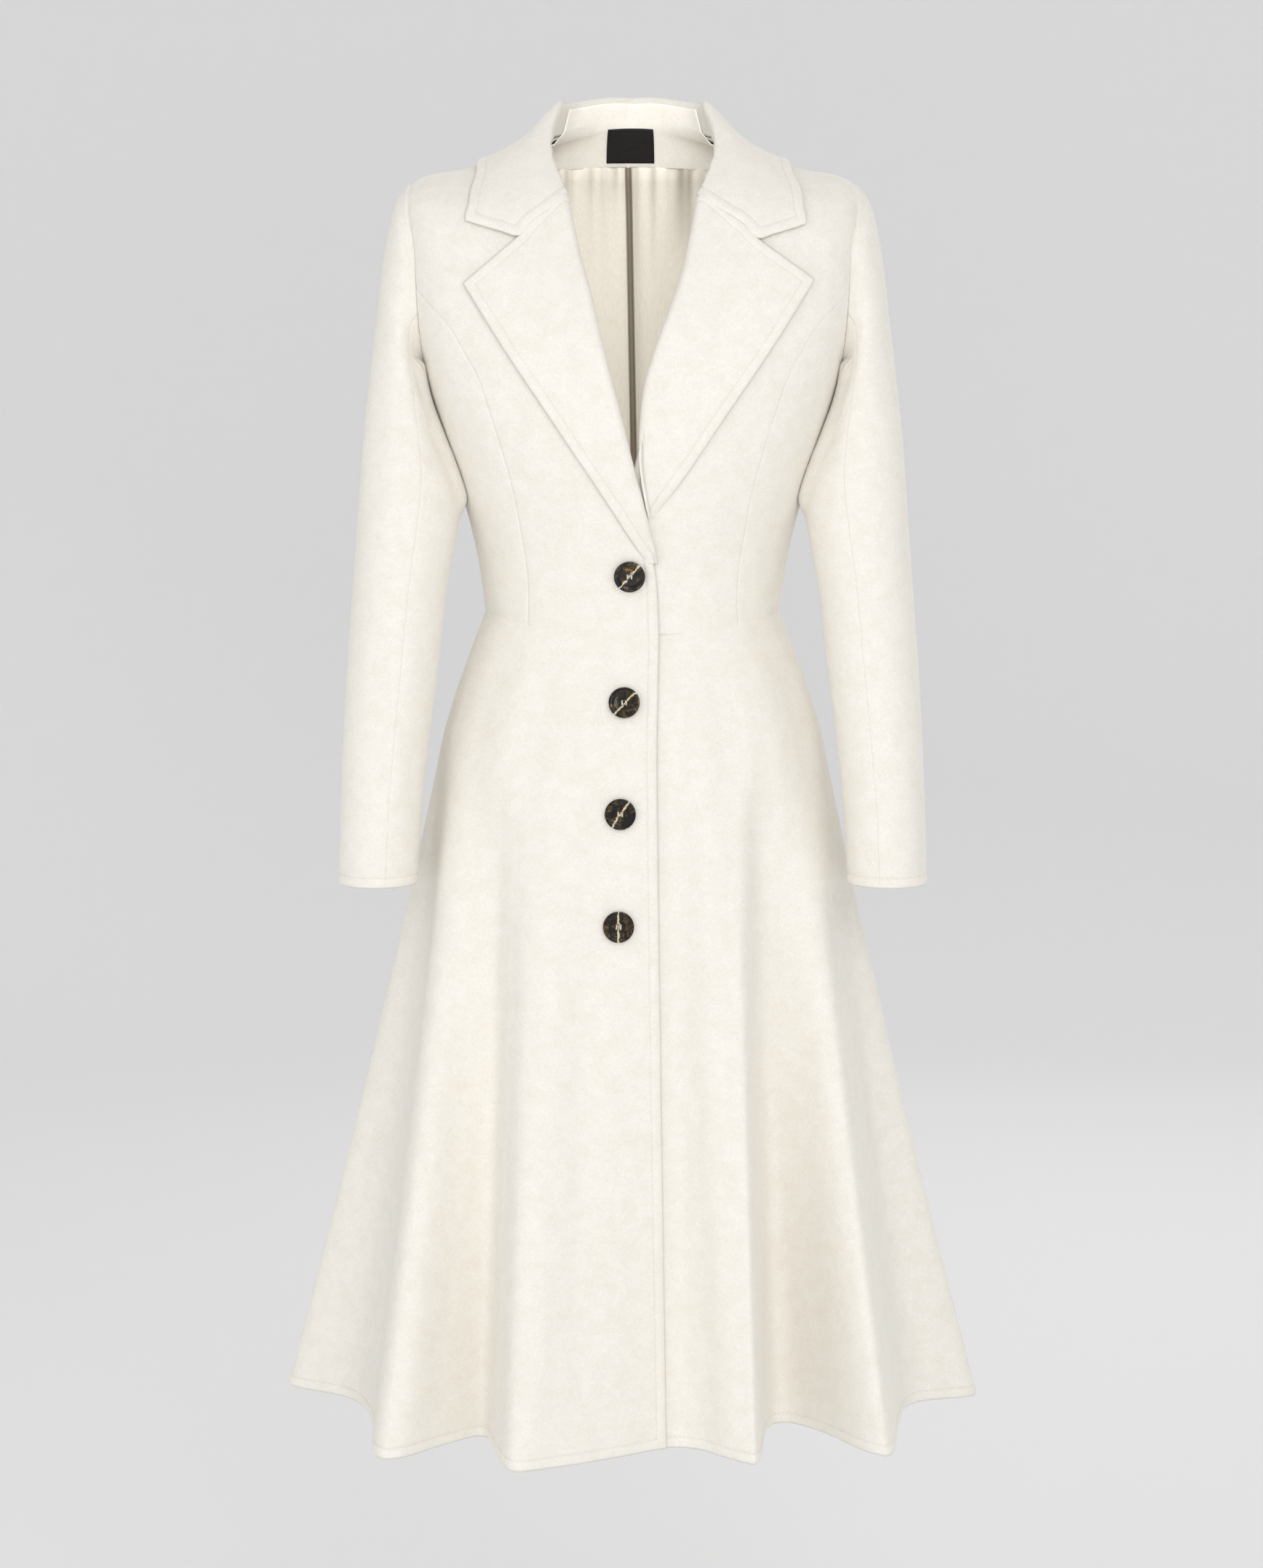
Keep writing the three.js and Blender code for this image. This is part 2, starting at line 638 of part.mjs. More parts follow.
// Outward direction of a sleeve.
function sleeveOutPlain(side, angle, down) {
  const step = 0.01;
  const round = sleevePoint(side, angle + step, down).sub(sleevePoint(side, angle - step, down));
  const low = Math.max(down - step, 0);
  const downwards = sleevePoint(side, angle, Math.min(down + step, 1)).sub(sleevePoint(side, angle, low));
  return round.cross(downwards).normalize().multiplyScalar(side);
}

// One of the two sleeve panels, between two of the armhole's steps.
function sleevePanel(side, from, to) {
  const points = [];
  const outs = [];
  const angles = Array.from({ length: to - from + 1 }, (_, j) => (4 * QUARTER * (from + j)) / ARMHOLE_STEPS);
  for (let i = 0; i <= SLEEVE_ROWS; i += 1) {
    const down = (i / SLEEVE_ROWS) ** SLEEVE_ROW_POWER;
    points.push(angles.map((angle) => sleevePoint(side, angle, down)));
    outs.push(
      angles.map((angle) => {
        const own = sleeveOutPlain(side, angle, down);
        if (i > 0) return own;
        const upper = smooth(-0.1, 0.4, Math.cos(angle));
        return own.lerp(armholeOut(side, angle), upper).normalize();
      }),
    );
  }
  const grid = drawIn({ points, outs });
  grid.points[0].forEach((point, j) => {
    const lower = 1 - smooth(-0.3, 0.4, Math.cos(angles[j]));
    point.addScaledVector(bodiceOut(...armholePlace(side, angles[j])), LAYER_GAP * lower);
  });
  return wallGeometry(grid);
}

// Height and depth of a front lapel or collar point over a bodice surface seen from the front.
function overFront(surface, spot, lift) {
  const [turn, rise] = placeSeen(spot);
  return surface(turn, rise).addScaledVector(bodiceOut(turn, rise), lift);
}

// Lapel: rolls over at the roll line and lies on the front panel.
function lapel(outline, surface) {
  const rows = 12;
  const flats = 5;
  const read = (table, share) => ({ x: along(columns(table).x, share), z: along(columns(table).z, share) });
  const gorge = (share) => {
    const top = outline.roll[outline.roll.length - 1];
    const from = share < 0.5 ? top : outline.notch;
    const to = share < 0.5 ? outline.notch : outline.tip;
    const part = share < 0.5 ? 2 * share : 2 * share - 1;
    return { x: mix(from.x, to.x, part), z: mix(from.z, to.z, part) };
  };
  const side = Math.sign(outline.tip.x);
  const points = [];
  for (let i = 0; i <= rows; i += 1) {
    const up = i / rows;
    const roll = read(outline.roll, up);
    const edge = read(outline.edge, up);
    const bend = smooth(BEND_FROM, 1, up);
    const spotAt = (share) => {
      const plain = { x: mix(roll.x, edge.x, share), z: mix(roll.z, edge.z, share) };
      const shaped = gorge(share);
      const ends = { x: mix(gorge(0).x, gorge(1).x, share), z: mix(gorge(0).z, gorge(1).z, share) };
      return { x: plain.x + bend * (shaped.x - ends.x), z: plain.z + bend * (shaped.z - ends.z) };
    };
    const free = smooth(outline.freeFrom, outline.freeFrom + ROLL_LENGTH, roll.z);
    const beyond = (share) => ({ x: roll.x - side * share * ROLL_PROUD, z: roll.z });
    const turnedLift = mix(LAPEL_LIFT + 0.8, 0.6 * LAPEL_LIFT, free);
    const under = overFront(surface, beyond(1), mix(LAPEL_LIFT, -1, free));
    const turned = overFront(surface, beyond(mix(0.5, 1, free)), turnedLift);
    const row = [under, turned];
    for (let j = 0; j <= flats; j += 1) {
      const share = j / flats;
      const lift = LAPEL_LIFT + ROLL_LIFT * (1 - share) ** 2 * clamp(3 * up);
      row.push(overFront(surface, spotAt(share), lift));
    }
    points.push(row);
  }
  return wallGeometry(drawIn({ points, outs: outsFromGrid(points, side) }), WALL);
}

// Outward directions of a grid, from its own neighbours.
function outsFromGrid(points, sign) {
  return points.map((row, i) =>
    row.map((_, j) => {
      const across = row[Math.min(j + 1, row.length - 1)].clone().sub(row[Math.max(j - 1, 0)]);
      const up = points[Math.min(i + 1, points.length - 1)][j].clone().sub(points[Math.max(i - 1, 0)][j]);
      return across.cross(up).normalize().multiplyScalar(sign);
    }),
  );
}

// Collar: each row goes from the neck seam up the stand, over the fold and down the fall.
function collar() {
  const frontRows = 6;
  const backRows = 6;
  const backEdge = lineOf(COLLAR_BACK.map((row) => [radians(row.turn), row.rise]));
  const half = (side, outline, frontRowsSeen, edgeRows) => {
    const neckFront = lineOf([
      placeSeen(outline.roll[outline.roll.length - 1]),
      ...edgeRows.slice(-1).map((row) => placeSeen({ x: side * (Math.abs(row.x) + 5), z: row.z + 18 })),
      [side * QUARTER * NECK_CORNER.turn, NECK_CORNER.rise],
      [side * QUARTER, 1],
    ]);
    const shoulder = [side * radians(COLLAR_BACK[0].turn), COLLAR_BACK[0].rise];
    const frontEdge = lineOf([...frontRowsSeen.map((row) => placeSeen(row)), shoulder]);
    const notchPlace = placeSeen({ x: outline.notch.x, z: outline.notch.z + NOTCH_GAP });
    const rows = [];
    for (let i = 0; i <= frontRows + backRows; i += 1) {
      const before = i <= frontRows;
      const part = before ? i / frontRows : (i - frontRows) / backRows;
      const neck = before ? neckFront(part) : [side * mix(QUARTER, Math.PI, part), 1];
      const far = before ? frontEdge(part) : backEdge(part);
      const lead = before ? (1 - part) ** 2 : 0;
      const outer = before ? far : [side * far[0], far[1]];
      const middle = [mix(neck[0], outer[0], 0.5), mix(neck[1], outer[1], 0.5)];
      const bent = [mix(middle[0], notchPlace[0], lead), mix(middle[1], notchPlace[1], lead)];
      const stand = before ? STAND.side * smooth(0, 1, part) : mix(STAND.side, STAND.back, part);
      rows.push(collarRow(neck, bent, outer, stand));
    }
    return rows;
  };
  const right = half(-1, LAPEL_RIGHT, COLLAR_FRONT.right, EDGE_RIGHT);
  const left = half(1, LAPEL_LEFT, COLLAR_FRONT.left, EDGE_LEFT);
  const points = [...right, ...left.reverse().slice(1)];
  return wallGeometry(drawIn({ points, outs: outsFromGrid(points, -1) }));
}

// One row of the collar, over three places on the bodice.
function collarRow(neck, bent, outer, stand) {
  const falls = 6;
  const up = new THREE.Vector3(0, 0, 1);
  const level = bodiceOut(...neck).setZ(0).normalize();
  const full = smooth(0, STAND.back, stand);
  const lean = STAND.lean * full;
  const foot = bodicePoint(...neck).addScaledVector(level, -STAND.inside * full);
  const low = Math.max(stand, 2);
  const row = [
    foot.clone().addScaledVector(up, 0.8),
    foot.clone().addScaledVector(up, 0.5 * low).addScaledVector(level, -0.5 * lean),
    foot.clone().addScaledVector(up, low - 1.5).addScaledVector(level, 0.4 - lean),
    foot.clone().addScaledVector(up, low + 1.5).addScaledVector(level, 3 - lean),
  ];
  for (let j = 1; j <= falls; j += 1) {
    const share = j / falls;
    const place = [0, 1].map((k) =>
      share < 0.5 ? mix(neck[k], bent[k], 2 * share) : mix(bent[k], outer[k], 2 * share - 1),
    );
    const point = bodicePoint(...place).addScaledVector(bodiceOut(...place), COLLAR_LIFT);
    const lift = low * (1 - share) ** STAND.fallPower;
    row.push(point.addScaledVector(up, lift).addScaledVector(level, (4 - lean) * (1 - share) ** 2));
  }
  return row;
}

// Turn of an inner layer at a share across it and a rise; the label keeps its width.
function insideTurn({ halfTurn, x, width }, share, rise) {
  if (halfTurn) return Math.PI + mix(-halfTurn, halfTurn, share);
  return Math.PI - Math.asin((x + width * (0.5 - share)) / along(bodiceColumns.width, rise));
}

// Wall that lies inside the back panels, between two rises.
function insideBack(layer, rowCount, columnCount) {
  const surface = (turn, rise) =>
    bodicePoint(turn, rise).addScaledVector(bodiceOut(turn, rise), -layer.depth);
  const region = (s, t) => {
    const rise = mix(layer.low, layer.high, t);
    return [insideTurn(layer, s, rise), rise];
  };
  return wallGeometry(drawIn(gridOf(surface, bodiceOut, region, rowCount, columnCount)), layer.thick);
}

// Skirt line at a place round the skirt, in lines from the first one.
function skirtLine(place) {
  const count = SKIRT_LINES.length;
  const turns = Math.floor(place / count);
  const i = Math.floor(place - turns * count);
  const f = place - turns * count - i;
  const read = (name, k) => SKIRT_LINES[(i + k + count) % count][name];
  const whole = (k) => 360 * (Math.floor((i + k) / count) + turns);
  const value = (name) => cubic(read(name, -1), read(name, 0), read(name, 1), read(name, 2), f);
  const turn = (name) => radians(cubic(...[-1, 0, 1, 2].map((k) => read(name, k) + whole(k)), f));
  return { waistTurn: turn("waist"), hipTurn: turn("hip"), x: value("x"), y: value("y") };
}

// Point of the skirt: place counts lines round it; down is 0 at the waist and 1 at the hem.
function skirtPoint(place, down) {
  const line = skirtLine(place);
  const waist = bodicePoint(line.waistTurn, 0);
  const reach = reachAt(line.hipTurn, HIP.square);
  const ahead = Math.cos(line.hipTurn);
  const hip = {
    x: HIP.width * reach * Math.sin(line.hipTurn),
    y: -(ahead > 0 ? HIP.front : HIP.back) * reach * ahead,
  };
  const rest = 1 - HIP.share;
  const read = (axis) => {
    const slope = (line[axis] - hip[axis]) / rest;
    if (down < HIP.share) {
      const start = (FLARE.fromWaist * (hip[axis] - waist[axis])) / HIP.share;
      return hermite(waist[axis], hip[axis], start, FLARE.atHip * slope, HIP.share, down / HIP.share);
    }
    const part = (down - HIP.share) / rest;
    return hermite(hip[axis], line[axis], FLARE.atHip * slope, FLARE.atHem * slope, rest, part);
  };
  return new THREE.Vector3(read("x"), read("y"), mix(waist.z, HEM_Z, down));
}

// Cubic between two values with given slopes.
function hermite(a, b, slopeA, slopeB, length, f) {
  const g = f * f * (3 - 2 * f);
  return mix(a, b, g) + length * f * (1 - f) * (slopeA * (1 - f) - slopeB * f);
}

const skirtOut = (place, down) => outwardAt(skirtPoint, place, down, -1);

// Point of the skirt's under front, which steps in below the top front.
function underSkirtPoint(place, down) {
  const point = skirtPoint(place, down);
  const share = 1 - smooth(UNDER_STEP_SKIRT.full, UNDER_STEP_SKIRT.none, place);
  return share > 0 ? point.addScaledVector(skirtOut(place, down), -UNDER_STEP.depth * share) : point;
}

// Skirt panel between two places, drawn in all round.
function skirtPanel(from, to, surface) {
  const count = Math.round((to - from) * LINE_STEPS);
  const region = (s, t) => [mix(from, to, s), t ** SKIRT_ROW_POWER];
  return wallGeometry(drawIn(gridOf(surface, skirtOut, region, SKIRT_ROWS, count)));
}

// Closed geometry as a manifold solid.
function solidOf(geometry) {
  const plain = geometry.clone();
  plain.deleteAttribute("normal");
  plain.deleteAttribute("uv");
  const merged = mergeVertices(plain, 1e-4);
  const mesh = new wasm.Mesh({
    numProp: 3,
    vertProperties: new Float32Array(merged.attributes.position.array),
    triVerts: new Uint32Array(merged.index.array),
  });
  return new wasm.Manifold(mesh);
}

// Button with a rounded rim, a dished face and four sewing holes, its back at the origin.
function buttonGeometry() {
  const { radius, thick, round, rim, slope, dish, sides } = BUTTON;
  const profile = [
    [0, 0],
    [radius - round, 0],
    [radius, round],
    [radius, thick - round],
    [radius - round, thick],
    [radius - rim, thick],
    [radius - rim - slope, thick - dish],
    [0, thick - dish],
  ].map(([across, high]) => new THREE.Vector2(across, high));
  let button = solidOf(new THREE.LatheGeometry(profile, sides));
  for (let i = 0; i < BUTTON_HOLE.count; i += 1) {
    const { radius: size, out, count } = BUTTON_HOLE;
    const hole = new THREE.CylinderGeometry(size, size, 4 * thick, BUTTON_HOLE.sides);
    const turn = (4 * QUARTER * (i + 0.5)) / count;
    hole.translate(out * Math.cos(turn), 0, out * Math.sin(turn));
    button = button.subtract(solidOf(hole));
  }
  const mesh = button.getMesh();
  const geometry = new THREE.BufferGeometry();
  geometry.setAttribute("position", new THREE.Float32BufferAttribute(mesh.vertProperties, 3));
  geometry.setIndex(Array.from(mesh.triVerts));
  geometry.computeVertexNormals();
  return geometry;
}

// Place on the skirt's top front, in lines and share down, of a point seen from the front.
function placeOnSkirt(x, z) {
  const step = 0.01;
  const height = HEM_Z - BODICE[0].frontZ;
  let place = SKIRT_LINES.length;
  let down = (z - BODICE[0].frontZ) / height;
  for (let pass = 0; pass < 60; pass += 1) {
    const here = skirtPoint(place, down);
    const next = skirtPoint(place + step, down);
    place += clamp((step * (x - here.x)) / (next.x - here.x), -0.3, 0.3);
    down += (z - here.z) / height;
  }
  return [place, down];
}

BUTTONS.forEach(({ x, z, part, lift }, i) => {
  const place = part === "bodice" ? placeSeen({ x, z }) : placeOnSkirt(x, z);
  const [surface, out] = part === "bodice" ? [bodicePoint, bodiceOut] : [skirtPoint, skirtOut];
  const facing = out(...place);
  const mesh = addPiece(`button_${i + 1}`, buttonGeometry(), TORTOISESHELL);
  mesh.position.copy(surface(...place).addScaledVector(facing, lift));
  mesh.quaternion.setFromUnitVectors(new THREE.Vector3(0, 1, 0), facing);
});

const lines = SKIRT_LINES.length;
const lineAt = (waist) => SKIRT_LINES.findIndex((line) => line.waist === waist);
addPiece("front_right", frontPanel(-1, EDGE_RIGHT, bodicePoint), WOOL);
addPiece("front_left", frontPanel(1, EDGE_LEFT, underBodicePoint), WOOL);
addPiece("side_front_right", sidePanel(-1, 1), WOOL);
addPiece("side_front_left", sidePanel(1, 1), WOOL);
addPiece("side_back_right", sidePanel(-1, -1), WOOL);
addPiece("side_back_left", sidePanel(1, -1), WOOL);
addPiece("back", backPanel(), WOOL);
addPiece("skirt_front_left", skirtPanel(-UNDERLAP_LINES, lineAt(90), underSkirtPoint), WOOL);
addPiece("skirt_back", skirtPanel(lineAt(90), lineAt(270), skirtPoint), WOOL);
addPiece("skirt_front_right", skirtPanel(lineAt(270), lines, skirtPoint), WOOL);
[-1, 1].forEach((side) => {
  const name = side < 0 ? "right" : "left";
  const { from, to } = UNDER_SLEEVE;
  addPiece(`sleeve_under_${name}`, sleevePanel(side, from, to), WOOL);
  addPiece(`sleeve_top_${name}`, sleevePanel(side, to - ARMHOLE_STEPS, from), WOOL);
});
addPiece("lapel_right", lapel(LAPEL_RIGHT, bodicePoint), WOOL);
addPiece("lapel_left", lapel(LAPEL_LEFT, underBodicePoint), WOOL);
addPiece("collar", collar(), WOOL);
addPiece("back_neck_facing", insideBack(FACING, 4, 12), WOOL);
addPiece("lining_back", insideBack(LINING, 9, 12), SATIN);
addPiece("label", insideBack(LABEL, 4, 5), LABEL_CLOTH);

export default coat;
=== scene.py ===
"""A women's ivory wool coat, filled out as worn: bodice, sleeves, lapels, collar, skirt and buttons.

Blender works in metres. The cut of the coat is given in millimetres and turned into metres when a
mesh is made. The front faces -Y, +X is the viewer's right and +Z is up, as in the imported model.
"""

from __future__ import annotations

import logging
import math
from collections.abc import Callable, Sequence
from dataclasses import dataclass
from enum import Enum
from typing import NamedTuple

import bmesh
import bpy
import numpy as np
from mathutils import Matrix, Vector


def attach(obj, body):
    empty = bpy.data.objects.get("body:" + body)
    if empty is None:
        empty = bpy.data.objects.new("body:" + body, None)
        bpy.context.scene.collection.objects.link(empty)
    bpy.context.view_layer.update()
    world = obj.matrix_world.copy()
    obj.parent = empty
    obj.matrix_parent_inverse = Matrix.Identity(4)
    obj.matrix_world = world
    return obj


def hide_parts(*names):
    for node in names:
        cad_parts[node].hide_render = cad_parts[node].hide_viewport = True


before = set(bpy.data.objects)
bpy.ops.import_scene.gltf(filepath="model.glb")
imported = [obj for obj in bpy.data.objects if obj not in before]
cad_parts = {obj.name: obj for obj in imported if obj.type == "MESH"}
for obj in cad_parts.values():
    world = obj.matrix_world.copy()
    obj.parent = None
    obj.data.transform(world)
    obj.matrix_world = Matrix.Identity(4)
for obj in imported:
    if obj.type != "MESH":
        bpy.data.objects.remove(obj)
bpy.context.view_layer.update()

LOG = logging.getLogger("wool_coat")
MM = 0.001
QUARTER = 0.5 * math.pi
Array = np.ndarray
Surface = Callable[[Array, Array], Array]
Line = Callable[[Array], Array]

# Cloth thicknesses and the reach of one layer over another.
WALL = 2.5
THIN_WALL = 1.2
LAPEL_LIFT = WALL + 1.3
COLLAR_LIFT = WALL + 2.1

# Height of the collar's stand at the side and back of the neck, and the corner where the neck seam
# meets the shoulder seam, as a share of a quarter turn and a rise.
STAND_SIDE = 29.0
STAND_BACK = 18.0
NECK_CORNER = (0.82, 0.992)


# Numbers and curves


def mix(a: Array | float, b: Array | float, share: Array | float) -> Array | float:
    """Value between a and b."""
    return a + (b - a) * share


def smooth(low: float, high: float, value: Array | float) -> Array:
    """Soft step from 0 at low to 1 at high."""
    share = np.clip((np.asarray(value, float) - low) / (high - low), 0.0, 1.0)
    return share * share * (3.0 - 2.0 * share)


def bell(distance: Array | float, width: float) -> Array:
    """Soft hump of height 1 at distance 0."""
    return np.exp(-((np.asarray(distance, float) / width) ** 2))


def cubic(a: Array, b: Array, c: Array, d: Array, f: Array) -> Array:
    """Catmull-Rom curve between b and c."""
    return b + 0.5 * f * (c - a + f * (2 * a - 5 * b + 4 * c - d + f * (3 * (b - c) + d - a)))


def along(values: Sequence[float] | Array, share: Array | float) -> Array:
    """Smooth value through a column of numbers.

    Args:
        values: the numbers, evenly spaced.
        share: place along them, from 0 to 1.

    Returns:
        The value at each place.
    """
    column = np.asarray(values, float)
    last = len(column) - 1
    place = np.clip(np.asarray(share, float), 0.0, 1.0) * last
    i = np.minimum(np.floor(place).astype(int), last - 1)
    before = column[np.maximum(i - 1, 0)]
    after = column[np.minimum(i + 2, last)]
    return cubic(before, column[i], column[i + 1], after, place - i)


def unit(vectors: Array) -> Array:
    """Vectors scaled to length 1."""
    length = np.linalg.norm(vectors, axis=-1, keepdims=True)
    return vectors / np.maximum(length, 1e-12)


def pair(u: Array | float, v: Array | float) -> Array:
    """Two parameters side by side in a last axis."""
    u, v = np.broadcast_arrays(np.asarray(u, float), np.asarray(v, float))
    return np.stack([u, v], axis=-1)


def line_of(places: Sequence[Sequence[float]]) -> Line:
    """Smooth line through parameter pairs, by share of its steps."""
    table = np.asarray(places, float)
    return lambda share: pair(along(table[:, 0], share), along(table[:, 1], share))


def straight(start: Sequence[float], end: Sequence[float]) -> Line:
    """Straight line between two parameter pairs."""
    return lambda share: pair(mix(start[0], end[0], share), mix(start[1], end[1], share))


def chained(parts: Sequence[tuple[Line, float]]) -> Line:
    """Lines end to end, each over its own number of steps."""
    total = sum(steps for _, steps in parts)

    def line(share: Array) -> Array:
        """Parameter pair at a share of the whole."""
        place = np.clip(np.asarray(share, float), 0.0, 1.0) * total
        result = parts[0][0](np.clip(place / parts[0][1], 0.0, 1.0))
        start = parts[0][1]
        for part, steps in parts[1:]:
            local = np.clip((place - start) / steps, 0.0, 1.0)
            result = np.where((place > start)[..., None], part(local), result)
            start += steps
        return result

    return line


def patch(bottom: Line, top: Line, left: Line, right: Line) -> Callable[[Array, Array], Array]:
    """Patch between four parameter lines, by shares across and up."""
    ends = np.array([0.0, 1.0])
    low, high = bottom(ends), top(ends)

    def region(s: Array, t: Array) -> Array:
        """Parameter pair at a place on the patch."""
        s1, t1 = s[..., None], t[..., None]
        sides = mix(left(t), right(t), s1) + mix(bottom(s), top(s), t1)
        corners = mix(mix(low[0], low[1], s1), mix(high[0], high[1], s1), t1)
        return sides - corners

    return region


def outward(surface: Surface, u: Array, v: Array, sign: float = 1.0, step: float = 1e-3) -> Array:
    """Outward direction of a surface of two parameters."""
    across = surface(u + step, v) - surface(u - step, v)
    down = surface(u, np.minimum(v + step, 1.0)) - surface(u, np.maximum(v - step, 0.0))
    return sign * unit(np.cross(across, down))


def grid_outward(points: Array, sign: float) -> Array:
    """Outward directions of a grid of points, from its own neighbours."""
    up, across = np.gradient(points, axis=0), np.gradient(points, axis=1)
    return sign * unit(np.cross(across, up))


def line_distance(points: Array, line: Array) -> tuple[Array, Array]:
    """Distance from a polyline, and how far along it the nearest place is.

    Args:
        points: any array of 3-D points.
        line: the polyline's points.

    Returns:
        The distances and the lengths along the line, in the points' unit.
    """
    flat = points.reshape(-1, 3)
    best = np.full(len(flat), np.inf)
    place = np.zeros(len(flat))
    start = 0.0
    for a, b in zip(line[:-1], line[1:]):
        step = b - a
        length = float(np.linalg.norm(step))
        if length < 1e-9:
            continue
        share = np.clip((flat - a) @ step / length**2, 0.0, 1.0)
        distance = np.linalg.norm(flat - (a + share[:, None] * step), axis=1)
        nearer = distance < best
        best[nearer] = distance[nearer]
        place[nearer] = start + share[nearer] * length
        start += length
    return best.reshape(points.shape[:-1]), place.reshape(points.shape[:-1])


def polyline_length(line: Array) -> float:
    """Length of a polyline."""
    return float(np.linalg.norm(np.diff(line, axis=0), axis=1).sum())


# Forms: the surfaces on which the cloth lies


class Ring(NamedTuple):
    """Level of the bodice: half width, depths, heights at the side, front and back, squareness."""

    width: float
    front: float
    back: float
    middle: float
    side_z: float
    front_z: float
    back_z: float
    square: float


@dataclass(frozen=True)
class BodiceForm:
    """Upper body's surface, by a turn from the front and a rise from the waist to the neck."""

    rings: tuple[Ring, ...] = (
        Ring(126, 92, 78, 0, -401, -417, -395, 2.15),
        Ring(133, 100, 85, 0, -352, -364, -348, 2.2),
        Ring(146, 116, 95, 0, -300, -308, -296, 2.35),
        Ring(162, 127, 103, 0, -250, -256, -246, 2.5),
        Ring(176, 126, 108, 0, -202, -210, -198, 2.7),
        Ring(186, 120, 109, 0, -152, -168, -148, 3.1),
        Ring(190, 108, 104, 2, -95, -130, -98, 3.5),
        Ring(187, 92, 92, 3, -40, -96, -48, 3.3),
        Ring(132, 80, 76, 5, -24, -66, -12, 2.6),
        Ring(69, 62, 60, 8, 0, -36, 17, 2.1),
    )
    shoulder_rise: float = 7 / 9
    underarm_rise: float = 0.44
    armhole_y: float = 2
    armhole_z: float = -127.5
    armhole_depth: float = 64
    armhole_height: float = 87.5

    def column(self, name: str) -> Array:
        """One size of every ring."""
        return np.array([getattr(ring, name) for ring in self.rings])

    def at(self, name: str, rise: Array) -> Array:
        """One size of the rings at a rise."""
        return along(self.column(name), rise)

    def point(self, turn: Array, rise: Array) -> Array:
        """Point at a turn from the front and a rise."""
        turn, rise = np.broadcast_arrays(np.asarray(turn, float), np.asarray(rise, float))
        square = self.at("square", rise)
        sine, ahead = np.sin(turn), np.cos(turn)
        reach = (np.abs(sine) ** square + np.abs(ahead) ** square) ** (-1 / square)
        front = ahead > 0
        depth = np.where(front, self.at("front", rise), self.at("back", rise))
        far_z = np.where(front, self.at("front_z", rise), self.at("back_z", rise))
        x = self.at("width", rise) * reach * sine
        y = self.at("middle", rise) - depth * reach * ahead
        return np.stack([x, y, mix(self.at("side_z", rise), far_z, ahead * ahead)], axis=-1)

    def out(self, turn: Array, rise: Array) -> Array:
        """Outward direction."""
        return outward(self.point, turn, rise)

    def place(
        self, axis: int, wanted: Array, height: Array, turn: Array, rise: Array
    ) -> tuple[Array, Array]:
        """Parameters of points known by one coordinate and their height.

        Args:
            axis: 0 for x or 1 for y.
            wanted: that coordinate.
            height: z.
            turn: first guess.
            rise: first guess.

        Returns:
            Turn and rise.
        """
        step, most, rounds = 1e-4, 0.08, 80
        wanted, height, turn, rise = np.broadcast_arrays(wanted, height, turn, rise)
        turn, rise = turn.astype(float), rise.astype(float)
        for _ in range(rounds):
            here = self.point(turn, rise)
            by_turn = (self.point(turn + step, rise) - here) / step
            by_rise = (here - self.point(turn, rise - step)) / step
            missing, missing_z = wanted - here[..., axis], height - here[..., 2]
            scale = by_turn[..., axis] * by_rise[..., 2] - by_turn[..., 2] * by_rise[..., axis]
            scale = np.where(np.abs(scale) < 1e-9, 1e-9, scale)
            turn_step = (missing * by_rise[..., 2] - missing_z * by_rise[..., axis]) / scale
            rise_step = (missing_z * by_turn[..., axis] - missing * by_turn[..., 2]) / scale
            turn = turn + np.clip(turn_step, -most, most)
            rise = np.clip(rise + np.clip(rise_step, -most, most), step, 1.0)
        return turn, rise

    def seen(self, x: Array, z: Array, back: bool = False) -> tuple[Array, Array]:
        """Parameters of points seen from the front or the back."""
        x, z = np.asarray(x, float), np.asarray(z, float)
        turn = np.arcsin(np.clip(x / self.column("width").max(), -0.95, 0.95))
        rise = np.clip(1 - z / self.rings[0].side_z, 0.02, 0.98)
        return self.place(0, x, z, math.pi - turn if back else turn, rise)

    def armhole(self, side: int, angle: Array) -> tuple[Array, Array]:
        """Parameters of the armhole seam, at an angle from the shoulder forwards."""
        angle = np.asarray(angle, float)
        y = self.armhole_y - self.armhole_depth * np.sin(angle)
        z = self.armhole_z + self.armhole_height * np.cos(angle)
        rise = mix(self.shoulder_rise, self.underarm_rise, 0.5 * (1 - np.cos(angle)))
        turn, found = self.place(1, y, z, side * (QUARTER - 0.5 * np.sin(angle)), rise)
        top = (np.abs(np.sin(angle)) < 1e-6) & (np.cos(angle) > 0)
        return np.where(top, side * QUARTER, turn), np.where(top, self.shoulder_rise, found)

    def side_at(self, y: Array, z: Array) -> Array:
        """Half width at a depth and a height, level with the underarm and below."""
        heights = self.column("side_z")
        rise = np.interp(z, heights, np.arange(len(heights)) / (len(heights) - 1))
        depth = np.where(y < 0, self.at("front", rise), self.at("back", rise))
        share = np.clip(np.abs(y) / depth, 0, 0.99)
        square = self.at("square", rise)
        return self.at("width", rise) * (1 - share**square) ** (1 / square)


BODICE = BodiceForm()


